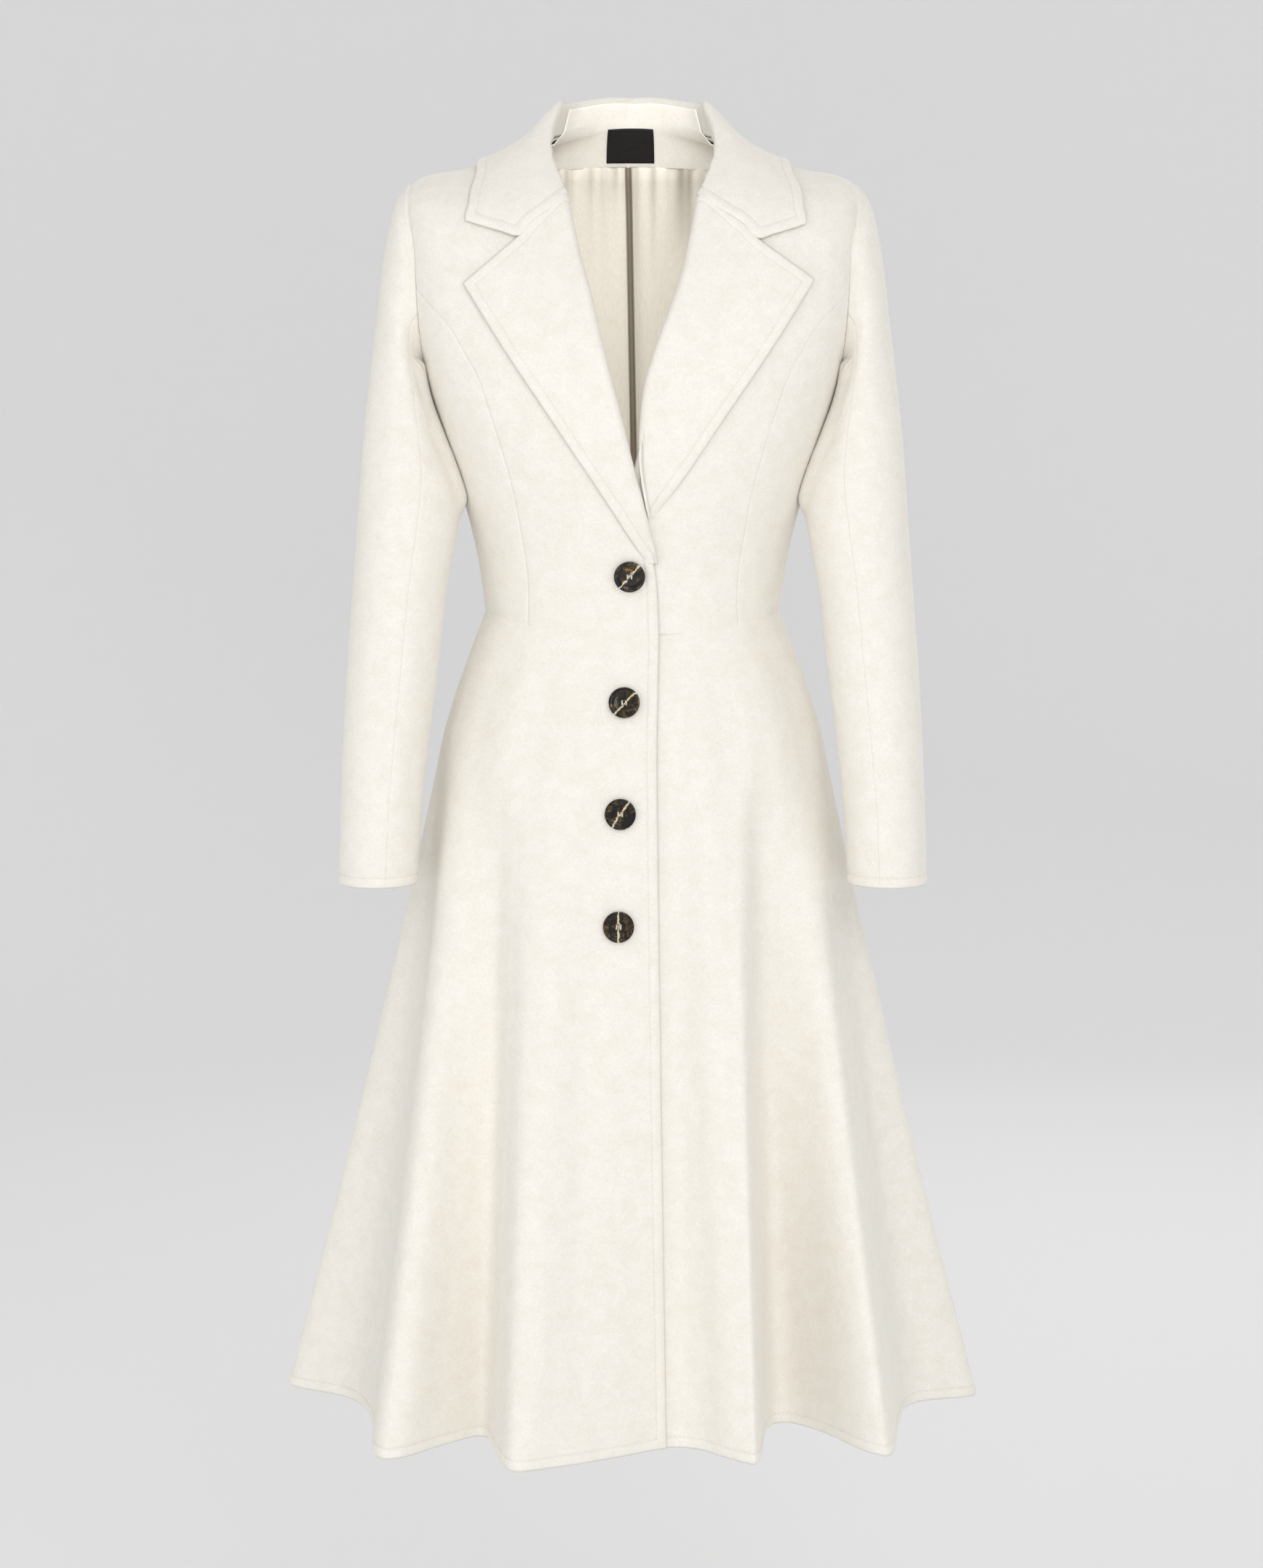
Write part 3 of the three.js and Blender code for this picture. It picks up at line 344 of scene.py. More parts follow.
@dataclass(frozen=True)
class UnderStep:
    """How the under front steps in below the top front."""

    depth: float = WALL + 1.0
    full_x: float = 26
    none_x: float = 54

    def on_bodice(self, turn: Array, rise: Array) -> Array:
        """Point of the under front of the bodice."""
        point = BODICE.point(turn, rise)
        share = 1 - smooth(self.full_x, self.none_x, point[..., 0])
        return point - BODICE.out(turn, rise) * (self.depth * share)[..., None]

    def on_skirt(self, place: Array, down: Array) -> Array:
        """Point of the under front of the skirt."""
        waist_x = BODICE.point(SKIRT.line(place)[0], np.zeros_like(place))[..., 0]
        share = 1 - smooth(self.full_x, self.none_x, waist_x)
        inset = SKIRT.out(place, down) * (self.depth * share)[..., None]
        return SKIRT.point(place, down) - inset


UNDER = UnderStep()


class Section(NamedTuple):
    """Section of a sleeve: its outer and inner edge, and the middle and half of its depth."""

    outer_x: float
    outer_z: float
    inner_x: float
    inner_z: float
    middle_y: float
    half_depth: float


@dataclass(frozen=True)
class SleeveForm:
    """A sleeve's surface, by an angle from its outer edge and a share down to the cuff."""

    sections: tuple[Section, ...] = (
        Section(187, -40, 173, -215, 2, 64),
        Section(199, -52, 175, -219, -1, 64),
        Section(206, -74, 174, -226, -5, 62),
        Section(212, -110, 169, -238, -11, 60),
        Section(217, -155, 161, -254, -19, 57),
        Section(222, -200, 151, -278, -28, 54),
        Section(227, -250, 145, -306, -38, 51),
        Section(231, -305, 149, -338, -46, 49),
        Section(235, -365, 157, -380, -53, 47),
        Section(240, -430, 163, -434, -58, 45),
        Section(244, -498, 171, -498, -62, 43),
        Section(247, -563, 178, -563, -65, 41),
        Section(249, -627, 182, -627, -66, 40),
    )
    clear: float = 0.6
    beside_high: float = -190
    beside_low: float = -400
    hug_gap: float = 5.0
    under_from: float = 7 / 24
    under_to: float = 17 / 24

    def oval(self, side: int, angle: Array, down: Array) -> Array:
        """Point before it is fitted to the armhole and the bodice's side."""
        at = {name: along([getattr(s, name) for s in self.sections], down) for name in Section._fields}
        share = 0.5 * (1 - np.cos(angle))
        x = side * mix(at["outer_x"], at["inner_x"], share)
        y = at["middle_y"] - at["half_depth"] * np.sin(angle)
        return np.stack([x, y, mix(at["outer_z"], at["inner_z"], share)], axis=-1)

    def point(self, side: int, angle: Array, down: Array) -> Array:
        """Point of the sleeve."""
        angle, down = np.broadcast_arrays(np.asarray(angle, float), np.asarray(down, float))
        point = self.oval(side, angle, down)
        fit = np.maximum(0, 1 - down * (len(self.sections) - 1) / 2) ** 2
        around, which = np.unique(np.round(angle, 9), return_inverse=True)
        seam = BODICE.point(*BODICE.armhole(side, around)) - self.oval(side, around, np.zeros_like(around))
        point = point + seam[which.reshape(angle.shape)] * fit[..., None]
        least = BODICE.side_at(point[..., 1], point[..., 2]) + self.clear * smooth(0, 0.04, down)
        beside = (point[..., 2] < self.beside_high) & (point[..., 2] > self.beside_low)
        gap = np.maximum(side * point[..., 0] - least, 0)
        inner = smooth(0.1, 0.6, -np.cos(angle)) * smooth(-325, -300, point[..., 2])
        hug = inner * (1 - smooth(self.hug_gap, 3 * self.hug_gap, gap))
        x = side * (least + gap * (1 - hug))
        point[..., 0] = np.where(beside, x, point[..., 0])
        return point


SLEEVE = SleeveForm()


class SkirtLine(NamedTuple):
    """Line down the skirt: its turns at the waist and hip in degrees and its place at the hem."""

    waist: float
    hip: float
    x: float
    y: float


@dataclass(frozen=True)
class SkirtForm:
    """Skirt's surface, by a place in lines round it and a share down from waist to hem."""

    lines: tuple[SkirtLine, ...] = (
        SkirtLine(9.8, 6.8, 28, -166),
        SkirtLine(16, 16, 55, -171),
        SkirtLine(27, 27, 90, -205),
        SkirtLine(32, 32, 105, -202),
        SkirtLine(36, 36, 114, -112),
        SkirtLine(40, 40, 130, -88),
        SkirtLine(47, 47, 159, -115),
        SkirtLine(56, 56, 195, -176),
        SkirtLine(63, 63, 217, -178),
        SkirtLine(69, 69, 228, -92),
        SkirtLine(77, 77, 246, -26),
        SkirtLine(90, 90, 302, 2),
        SkirtLine(103, 103, 269, 62),
        SkirtLine(112, 112, 236, 92),
        SkirtLine(124, 124, 219, 178),
        SkirtLine(136, 136, 168, 176),
        SkirtLine(150, 150, 117, 138),
        SkirtLine(162, 162, 82, 218),
        SkirtLine(172, 172, 35, 228),
        SkirtLine(181, 181, -2, 186),
        SkirtLine(190, 190, -41, 222),
        SkirtLine(199, 199, -88, 230),
        SkirtLine(210, 210, -123, 148),
        SkirtLine(223, 223, -172, 186),
        SkirtLine(235, 235, -221, 186),
        SkirtLine(247, 247, -238, 104),
        SkirtLine(257, 257, -275, 76),
        SkirtLine(270, 270, -305, 34),
        SkirtLine(283, 283, -246, -14),
        SkirtLine(291, 291, -223, -90),
        SkirtLine(297, 297, -215, -182),
        SkirtLine(304, 304, -191, -192),
        SkirtLine(312, 312, -156, -153),
        SkirtLine(320, 320, -126, -130),
        SkirtLine(325, 325, -113, -186),
        SkirtLine(331, 331, -99, -230),
        SkirtLine(340, 340, -64, -220),
        SkirtLine(352, 352, -14, -192),
    )
    hip_width: float = 166
    hip_front: float = 120
    hip_back: float = 130
    hip_square: float = 2.15
    hip_share: float = 0.176
    hem_z: float = -1090
    flare_waist: float = 1.15
    flare_hip: float = 0.86
    flare_hem: float = 1.08

    def line(self, place: Array) -> tuple[Array, Array, Array, Array]:
        """Waist and hip turns and hem place of a line, any number of times round."""
        count = len(self.lines)
        whole = np.floor(place).astype(int)
        f = place - whole
        table = np.array(self.lines)

        def read(column: int, k: int) -> Array:
            """One column at a neighbouring line; the turns go on rising round the coat."""
            value = table[(whole + k) % count, column]
            return value + 360 * np.floor((whole + k) / count) if column < 2 else value

        columns = [cubic(read(c, -1), read(c, 0), read(c, 1), read(c, 2), f) for c in range(4)]
        return np.radians(columns[0]), np.radians(columns[1]), columns[2], columns[3]

    def point(self, place: Array, down: Array) -> Array:
        """Point at a place round the skirt and a share down."""
        place, down = np.broadcast_arrays(np.asarray(place, float), np.asarray(down, float))
        waist_turn, hip_turn, hem_x, hem_y = self.line(place)
        waist = BODICE.point(waist_turn, np.zeros_like(waist_turn))
        sine, ahead = np.sin(hip_turn), np.cos(hip_turn)
        square = self.hip_square
        reach = (np.abs(sine) ** square + np.abs(ahead) ** square) ** (-1 / square)
        hip_x = self.hip_width * reach * sine
        hip_y = -np.where(ahead > 0, self.hip_front, self.hip_back) * reach * ahead
        rest = 1 - self.hip_share
        upper = np.clip(down / self.hip_share, 0, None)
        lower = (down - self.hip_share) / rest

        def read(waist_at: Array, hip_at: Array, hem_at: Array) -> Array:
            """One coordinate from waist to hip to hem."""
            slope = (hem_at - hip_at) / rest
            start = self.flare_waist * (hip_at - waist_at) / self.hip_share
            above = hermite(waist_at, hip_at, start, self.flare_hip * slope, self.hip_share, upper)
            below = hermite(hip_at, hem_at, self.flare_hip * slope, self.flare_hem * slope, rest, lower)
            return np.where(down < self.hip_share, above, below)

        x = read(waist[..., 0], hip_x, hem_x)
        y = read(waist[..., 1], hip_y, hem_y)
        return np.stack([x, y, mix(waist[..., 2], self.hem_z, down)], axis=-1)

    def out(self, place: Array, down: Array) -> Array:
        """Outward direction."""
        return outward(self.point, place, down, -1.0)

    def seen(self, x: float, z: float) -> tuple[float, float]:
        """Place and share down of a point of the top front seen from the front."""
        step = 0.01
        top = BODICE.rings[0].front_z
        place, down = float(len(self.lines)), (z - top) / (self.hem_z - top)
        for _ in range(60):
            here, beside = self.point(np.array([place, place + step]), np.array([down, down]))
            place += float(np.clip(step * (x - here[0]) / (beside[0] - here[0]), -0.3, 0.3))
            down += float((z - here[2]) / (self.hem_z - top))
        return place, down


def hermite(a: Array, b: Array, slope_a: Array, slope_b: Array, length: float, f: Array) -> Array:
    """Cubic between two values with given slopes."""
    return mix(a, b, f * f * (3 - 2 * f)) + length * f * (1 - f) * (slope_a * (1 - f) - slope_b * f)


SKIRT = SkirtForm()


# Cloth: creases, rims and the sheet that carries them


class Rim(Enum):
    """How one side of a sheet ends."""

    SEAM = "sewn to its neighbour, so that it dips into the seam"
    PRESSED = "sewn and pressed open, so that it hardly dips"
    EDGE = "turned edge, rounded, topstitched and slightly puffed"
    PLAIN = "left as cut, under another piece"


@dataclass(frozen=True)
class Crease:
    """Soft trough or ridge in the cloth, along points of its own surface."""

    points: tuple[tuple[float, float], ...]
    depth: float
    width: float
    fade: float = 0.5

    def lift(self, cloth: Array, line: Array) -> Array:
        """Height that the crease adds to each point.

        Args:
            cloth: the sheet's points.
            line: the crease's points on the sheet.

        Returns:
            Height along the outward direction, in millimetres.
        """
        distance, place = line_distance(cloth, line)
        share = place / polyline_length(line)
        ends = np.sin(np.pi * np.clip(share, 0.0, 1.0)) ** self.fade
        return self.depth * bell(distance, self.width) * ends


@dataclass(frozen=True)
class Stitching:
    """Topstitching beside a turned edge, and the puff of the cloth between them."""

    inset: float = 8.0
    groove_depth: float = 0.55
    groove_width: float = 1.1
    puff: float = 0.45
    round_reach: float = 2.4
    round_drop: float = 1.0
    seam_reach: float = 2.8
    seam_drop: float = 0.6
    pressed_drop: float = 0.22

    def edge_lift(self, distance: Array) -> Array:
        """Height of the outer face at a distance from a turned edge."""
        share = np.clip(distance / self.round_reach, 0.0, 1.0)
        rounded = -self.round_drop * (1 - np.sqrt(np.clip(1 - (1 - share) ** 2, 0, 1)))
        puff = self.puff * bell(distance - 0.5 * self.inset, 0.42 * self.inset)
        groove = -self.groove_depth * bell(distance - self.inset, self.groove_width)
        return rounded + puff + groove

    def seam_lift(self, distance: Array, rim: Rim) -> Array:
        """Height of the outer face at a distance from a seam."""
        drop = self.pressed_drop if rim is Rim.PRESSED else self.seam_drop
        return -drop * (1 - smooth(0.0, self.seam_reach, distance)) ** 1.5


STITCHING = Stitching()

# Distances of a sheet's rows from each kind of rim, in millimetres.
RIM_ROWS = {
    Rim.EDGE: (0.35, 0.9, 1.7, 2.8, 4.2, 5.6, 6.6, 7.3, 8.0, 8.7, 9.5, 11.0),
    Rim.SEAM: (0.7, 1.5, 2.5, 3.8),
    Rim.PRESSED: (0.7, 1.5, 2.5, 3.8),
    Rim.PLAIN: (),
}

# How far a turned edge bulges, as a share of the thickness, and a distance past every edge.
EDGE_BULGE = 0.42
FAR_AWAY = 1000.0


def stations(length: float, spacing: float, start: Rim, end: Rim) -> Array:
    """Shares along one side of a sheet, closer together beside its rims.

    Args:
        length: the side's length in millimetres.
        spacing: distance between rows away from the rims.
        start: rim at share 0.
        end: rim at share 1.

    Returns:
        The shares, from 0 to 1.
    """
    head, tail = RIM_ROWS[start], RIM_ROWS[end]
    low, high = (head[-1] if head else 0.0), length - (tail[-1] if tail else 0.0)
    count = max(2, round((high - low) / spacing))
    between = np.linspace(low, high, count + 1)[1:-1]
    places = [0.0, *head, *between, *(length - d for d in reversed(tail)), length]
    return np.unique(np.clip(np.array(places) / length, 0.0, 1.0))


@dataclass
class Sheet:
    """Sheet of cloth on a grid of points, with its rims, thickness, creases and painted shade in its folds.
    """

    name: str
    points: Array
    outs: Array
    rims: dict[str, Rim]
    thickness: float = WALL
    lift: Array | None = None
    # Painted shade of the folds, from 0 to 1, kept in the sewing map.
    shade: Array | None = None

    def sides(self) -> dict[str, Array]:
        """The four sides of the grid."""
        return {
            "bottom": self.points[0],
            "top": self.points[-1],
            "left": self.points[:, 0],
            "right": self.points[:, -1],
        }

    def relief(self) -> tuple[Array, Array]:
        """Height that rims give the outer face, and the sewing map: run or painted shade, and distance."""
        height = np.zeros(self.points.shape[:-1])
        nearest = np.full(height.shape, FAR_AWAY)
        run = np.zeros(height.shape)
        for side, line in self.sides().items():
            rim = self.rims.get(side, Rim.PLAIN)
            if rim is Rim.PLAIN:
                continue
            distance, place = line_distance(self.points, line)
            if rim is not Rim.EDGE:
                height += STITCHING.seam_lift(distance, rim)
                continue
            nearer = distance < nearest
            nearest = np.where(nearer, distance, nearest)
            run = np.where(nearer, place, run)
        if Rim.EDGE in self.rims.values():
            height += STITCHING.edge_lift(nearest)
        # Painted shade takes the map's first value in place of the run.
        if self.shade is not None:
            run = self.shade
        return height, np.stack([run, nearest], axis=-1)

    def perimeter(self) -> Array:
        """Grid indices round the sheet, in order."""
        rows, columns = self.points.shape[:2]
        index = np.arange(rows * columns).reshape(rows, columns)
        return np.concatenate([index[0, :-1], index[:-1, -1], index[-1, :0:-1], index[:0:-1, 0]])

    def mesh(self) -> bpy.types.Object:
        """Closed mesh of the sheet, in metres, with its sewing map as a UV map.

        Returns:
            The new object, smooth shaded.
        """
        rows, columns = self.points.shape[:2]
        height, sewing = self.relief()
        base = self.points if self.lift is None else self.points + self.outs * self.lift[..., None]
        outer = (base + self.outs * height[..., None]).reshape(-1, 3)
        inner = (base - self.outs * self.thickness).reshape(-1, 3)
        ring = self.perimeter()
        turned = self.rim_kinds().reshape(-1)[ring]
        away = self.away().reshape(-1, 3)[ring]
        bulge = np.where(turned, EDGE_BULGE * self.thickness, 0.0)
        between = 0.5 * (outer[ring] + inner[ring]) + away * bulge[:, None]
        count = rows * columns
        vertices = np.concatenate([outer, inner, between]) * MM
        index = np.arange(count).reshape(rows, columns)
        a, b, c, d = index[:-1, :-1], index[:-1, 1:], index[1:, 1:], index[1:, :-1]
        front = np.stack([a, b, c, d], axis=-1).reshape(-1, 4)
        back = front[:, ::-1] + count
        middle = 2 * count + np.arange(len(ring))
        after = np.roll(ring, -1)
        middle_after = np.roll(middle, -1)
        upper = np.stack([after, ring, middle, middle_after], axis=-1)
        lower = np.stack([middle_after, middle, ring + count, after + count], axis=-1)
        faces = np.concatenate([front, back, upper, lower])
        sewing = sewing.reshape(-1, 2)
        sewing = np.concatenate([sewing, sewing, sewing[ring]])
        sewing[count:, 1] = FAR_AWAY
        return mesh_object(self.name, vertices, faces, sewing * MM)

    def rim_kinds(self) -> Array:
        """Whether each grid point is on a turned edge."""
        turned = np.zeros(self.points.shape[:-1], bool)
        places = {"bottom": np.s_[0], "top": np.s_[-1], "left": np.s_[:, 0], "right": np.s_[:, -1]}
        for side, place in places.items():
            if self.rims.get(side) is Rim.EDGE:
                turned[place] = True
        return turned

    def away(self) -> Array:
        """Directions that leave the sheet at its rims."""
        away = np.zeros_like(self.points)
        away[0] += unit(self.points[0] - self.points[1])
        away[-1] += unit(self.points[-1] - self.points[-2])
        away[:, 0] += unit(self.points[:, 0] - self.points[:, 1])
        away[:, -1] += unit(self.points[:, -1] - self.points[:, -2])
        return unit(away)

    def cut(self) -> tuple[float, float]:
        """Largest width and length of the flat piece, in metres."""
        widths = np.linalg.norm(np.diff(self.points, axis=1), axis=-1).sum(axis=1)
        lengths = np.linalg.norm(np.diff(self.points, axis=0), axis=-1).sum(axis=0)
        return float(widths.max()) * MM, float(lengths.max()) * MM


def tucked(points: Array, outs: Array, reach: float = 3.0, sink: float = 0.7) -> tuple[Array, Array]:
    """Grid with one more row before its first, which runs under the neighbour at that seam.

    Args:
        points: the sheet's points.
        outs: its outward directions.
        reach: how far the new row runs under the neighbour.
        sink: how far it lies below it.

    Returns:
        Points and outward directions.
    """
    row = points[0] + unit(points[0] - points[1]) * reach - outs[0] * sink
    return np.concatenate([row[None], points]), np.concatenate([outs[:1], outs])


def mesh_object(name: str, vertices: Array, faces: Array, sewing: Array | None = None) -> bpy.types.Object:
    """Object from points and four-sided faces.

    Args:
        name: the object's name.
        vertices: points in metres.
        faces: rows of four indices.
        sewing: a pair for each vertex, kept as the UV map "sewing".

    Returns:
        The object, smooth shaded, with its faces pointing out.
    """
    mesh = bpy.data.meshes.new(name)
    mesh.from_pydata(vertices.tolist(), [], faces.tolist())
    mesh.validate()
    if sewing is not None:
        layer = mesh.uv_layers.new(name="sewing")
        loops = np.zeros(len(mesh.loops), np.int32)
        mesh.loops.foreach_get("vertex_index", loops)
        layer.data.foreach_set("uv", sewing[loops].astype(np.float32).reshape(-1))
    shape = bmesh.new()
    shape.from_mesh(mesh)
    if shape.calc_volume(signed=True) < 0:
        bmesh.ops.reverse_faces(shape, faces=shape.faces)
    shape.to_mesh(mesh)
    shape.free()
    mesh.polygons.foreach_set("use_smooth", np.ones(len(mesh.polygons), bool))
    piece = bpy.data.objects.new(name, mesh)
    bpy.context.scene.collection.objects.link(piece)
    return piece


# Finishes


def linear(code: str) -> tuple[float, float, float, float]:
    """Linear colour of an sRGB hex code."""
    parts = [int(code[i : i + 2], 16) / 255 for i in (1, 3, 5)]
    values = [c / 12.92 if c <= 0.04045 else ((c + 0.055) / 1.055) ** 2.4 for c in parts]
    return (values[0], values[1], values[2], 1.0)


def per_mm(size: float) -> float:
    """Noise scale whose features are about this many millimetres across."""
    return 1 / (size * MM)


def fit(
    tree: bpy.types.NodeTree,
    node: bpy.types.Node,
    settings: dict | None = None,
    links: dict | None = None,
    stops: Sequence[tuple[float, str]] = (),
) -> bpy.types.Node:
    """Gives a node its settings and links.

    Args:
        tree: the material's node tree.
        node: the node.
        settings: values by input name or number, or by property name.
        links: output sockets by input name or number.
        stops: places and sRGB codes of a colour ramp.

    Returns:
        The node.
    """
    for name, value in (settings or {}).items():
        if isinstance(name, str) and hasattr(node, name):
            setattr(node, name, value)
        else:
            node.inputs[name].default_value = value
    for name, socket in (links or {}).items():
        tree.links.new(socket, node.inputs[name])
    if stops:
        elements = node.color_ramp.elements
        while len(elements) < len(stops):
            elements.new(0.5)
        for element, (place, code) in zip(elements, stops):
            element.position = place
            element.color = linear(code)
    return node


def add(tree: bpy.types.NodeTree, kind: str, *given: dict, **named: dict | Sequence) -> bpy.types.Node:
    """Adds a node of a kind, with the settings, links and stops that fit() takes."""
    return fit(tree, tree.nodes.new(kind), *given, **named)


class Blank(NamedTuple):
    """Material with an empty Principled shader, and the object's coordinates for its patterns."""

    material: bpy.types.Material
    tree: bpy.types.NodeTree
    shader: bpy.types.Node
    place: bpy.types.NodeSocket


def new_material(name: str) -> Blank:
    """Makes a material to be finished."""
    material = bpy.data.materials.new(name)
    material.use_nodes = True
    tree = material.node_tree
    tree.nodes.clear()
    shader = add(tree, "ShaderNodeBsdfPrincipled")
    add(tree, "ShaderNodeOutputMaterial", links={"Surface": shader.outputs["BSDF"]})
    return Blank(material, tree, shader, add(tree, "ShaderNodeTexCoord").outputs["Object"])


@dataclass(frozen=True)
class FeltedWool:
    """Felted wool coating: a short brushed nap hides the weave, so it is matt and faintly mottled."""

    light: str = "#F3F0EA"
    dark: str = "#EFEBE3"
    # Colour of the painted shade in the topstitching's groove and stitch holes.
    painted_stitch_shade: str = "#CFC5B4"
    fleck: str = "#EDEAE4"
    sheen: str = "#FFFDF8"
    mottle_mm: float = 14.0
    fibre_mm: float = 1.5
    curl_mm: float = 4.5
    stitch_mm: float = 3.6
    stitch_inset_mm: float = STITCHING.inset

    def material(self) -> bpy.types.Material:
        """The wool, with stitches beside its turned edges and painted shade along their row."""
        material, tree, shader, place = new_material("felted_wool")
        mottle = add(
            tree,
            "ShaderNodeTexNoise",
            {"Scale": per_mm(self.mottle_mm), "Detail": 5.0, "Roughness": 0.62},
            {"Vector": place},
        )
        tone = add(
            tree,
            "ShaderNodeValToRGB",
            links={"Fac": mottle.outputs["Fac"]},
            stops=((0.34, self.dark), (0.62, self.light)),
        )
        fibre = add(
            tree,
            "ShaderNodeTexNoise",
            {"Scale": per_mm(self.fibre_mm), "Detail": 3.0, "Roughness": 0.7, "Distortion": 1.2},
            {"Vector": place},
        )
        curl = add(
            tree,
            "ShaderNodeTexNoise",
            {"Scale": per_mm(self.curl_mm), "Detail": 2.0, "Distortion": 0.6},
            {"Vector": place},
        )
        fleck = add(
            tree,
            "ShaderNodeValToRGB",
            links={"Fac": fibre.outputs["Fac"]},
            stops=((0.3, self.fleck), (0.7, "#FFFFFF")),
        )
        napped = add(
            tree,
            "ShaderNodeMix",
            {"data_type": "RGBA", "blend_type": "MULTIPLY", 0: 0.75},
            {6: tone.outputs["Color"], 7: fleck.outputs["Color"]},
        )
        stitch_shade_mask, groove = self.stitches(tree)
        # Painted shade: the wool darkens towards this colour along the stitch row.
        shaded = add(
            tree,
            "ShaderNodeMix",
            {"data_type": "RGBA", "blend_type": "MIX", 7: linear(self.painted_stitch_shade)},
            {0: stitch_shade_mask, 6: napped.outputs[2]},
        )
        nap = add(
            tree,
            "ShaderNodeMath",
            {"operation": "MULTIPLY_ADD", 1: 0.45},
            {0: fibre.outputs["Fac"], 2: curl.outputs["Fac"]},
        )
        height = add(tree, "ShaderNodeMath", {"operation": "SUBTRACT"}, {0: nap.outputs[0], 1: groove})
        bump = add(
            tree,
            "ShaderNodeBump",
            {"Strength": 0.28, "Distance": 0.0011},
            {"Height": height.outputs[0]},
        )
        surface = {"Roughness": 0.95, "Specular IOR Level": 0.25, "Sheen Weight": 0.35}
        surface |= {"Sheen Roughness": 0.55, "Sheen Tint": linear(self.sheen)}
        fit(tree, shader, surface, {"Base Color": shaded.outputs[2], "Normal": bump.outputs["Normal"]})
        return material

    def stitches(self, tree: bpy.types.NodeTree) -> tuple[bpy.types.NodeSocket, bpy.types.NodeSocket]:
        """Masks of the topstitching, read from the sewing map.

        Args:
            tree: the material's node tree.

        Returns:
            The painted shade beside the stitches, and the depth of the row.
        """
        sewing = add(tree, "ShaderNodeUVMap", {"uv_map": "sewing"})
        parts = add(tree, "ShaderNodeSeparateXYZ", links={0: sewing.outputs["UV"]})
        offset = add(
            tree,
            "ShaderNodeMath",
            {"operation": "SUBTRACT", 1: self.stitch_inset_mm * MM},
            {0: parts.outputs["Y"]},
        )
        apart = add(tree, "ShaderNodeMath", {"operation": "ABSOLUTE"}, {0: offset.outputs[0]})
        row = add(
            tree,
            "ShaderNodeMapRange",
            {"interpolation_type": "SMOOTHSTEP", 1: 0.0, 2: STITCHING.groove_width * MM, 3: 1.0, 4: 0.0},
            {0: apart.outputs[0]},
        )
        beat = add(
            tree,
            "ShaderNodeMath",
            {"operation": "MULTIPLY", 1: 2 * math.pi / (self.stitch_mm * MM)},
            {0: parts.outputs["X"]},
        )
        wave = add(tree, "ShaderNodeMath", {"operation": "SINE"}, {0: beat.outputs[0]})
        dimple = add(
            tree,
            "ShaderNodeMapRange",
            {1: -1.0, 2: 1.0, 3: 0.35, 4: 1.0},
            {0: wave.outputs[0]},
        )
        mask = add(
            tree, "ShaderNodeMath", {"operation": "MULTIPLY"}, {0: row.outputs[0], 1: dimple.outputs[0]}
        )
        # Painted shade, deepest in the holes between stitches.
        shade = add(tree, "ShaderNodeMath", {"operation": "MULTIPLY", 1: 0.3}, {0: mask.outputs[0]})
        return shade.outputs[0], mask.outputs[0]


@dataclass(frozen=True)
class SatinLining:
    """Acetate satin: long floats give soft sheets of light, and painted shade from its map darkens its
    folds.
    """

    light: str = "#F8F4EA"
    dark: str = "#EFE8DA"
    # Colour of the painted shade in the pleat's slot, in the side fold and beside the gathers.
    fold: str = "#7F7362"
    thread_mm: float = 0.9

    def material(self) -> bpy.types.Material:
        """The satin."""
        material, tree, shader, place = new_material("acetate_satin")
        drawn = add(tree, "ShaderNodeMapping", {"Scale": (1.0, 1.0, 0.12)}, {"Vector": place})
        thread = add(
            tree,
            "ShaderNodeTexNoise",
            {"Scale": per_mm(self.thread_mm), "Detail": 2.0},
            {"Vector": drawn.outputs[0]},
        )
        tone = add(
            tree,
            "ShaderNodeValToRGB",
            links={"Fac": thread.outputs["Fac"]},
            stops=((0.3, self.dark), (0.7, self.light)),
        )
        bump = add(
            tree, "ShaderNodeBump", {"Strength": 0.08, "Distance": 0.0004}, {"Height": thread.outputs["Fac"]}
        )
        # Painted shade: the map's first value mixes the satin towards the fold colour.
        painted_shade_map = add(tree, "ShaderNodeUVMap", {"uv_map": "sewing"})
        parts = add(tree, "ShaderNodeSeparateXYZ", links={0: painted_shade_map.outputs["UV"]})
        shade = add(tree, "ShaderNodeMath", {"operation": "DIVIDE", 1: MM}, {0: parts.outputs["X"]})
        with_painted_shade = add(
            tree,
            "ShaderNodeMix",
            {"data_type": "RGBA", 7: linear(self.fold)},
            {0: shade.outputs[0], 6: tone.outputs["Color"]},
        )
        surface = {"Roughness": 0.38, "Anisotropic": 0.5, "Sheen Weight": 0.15}
        fit(tree, shader, surface, {"Base Color": with_painted_shade.outputs[2], "Normal": bump.outputs["Normal"]})
        return material


@dataclass(frozen=True)
class LabelCloth:
    """Black damask label tape, woven close and left bare."""

    light: str = "#1B1B1E"
    dark: str = "#0C0C0E"
    thread_mm: float = 0.5

    def material(self) -> bpy.types.Material:
        """The tape."""
        material, tree, shader, place = new_material("black_label_tape")
        drawn = add(tree, "ShaderNodeMapping", {"Scale": (0.25, 1.0, 1.0)}, {"Vector": place})
        weave = add(
            tree,
            "ShaderNodeTexNoise",
            {"Scale": per_mm(self.thread_mm), "Detail": 1.0},
            {"Vector": drawn.outputs[0]},
        )
        tone = add(
            tree,
            "ShaderNodeValToRGB",
            links={"Fac": weave.outputs["Fac"]},
            stops=((0.35, self.dark), (0.65, self.light)),
        )
        bump = add(
            tree, "ShaderNodeBump", {"Strength": 0.2, "Distance": 0.0003}, {"Height": weave.outputs["Fac"]}
        )
        links = {"Base Color": tone.outputs["Color"], "Normal": bump.outputs["Normal"]}
        fit(tree, shader, {"Roughness": 0.62}, links)
        return material


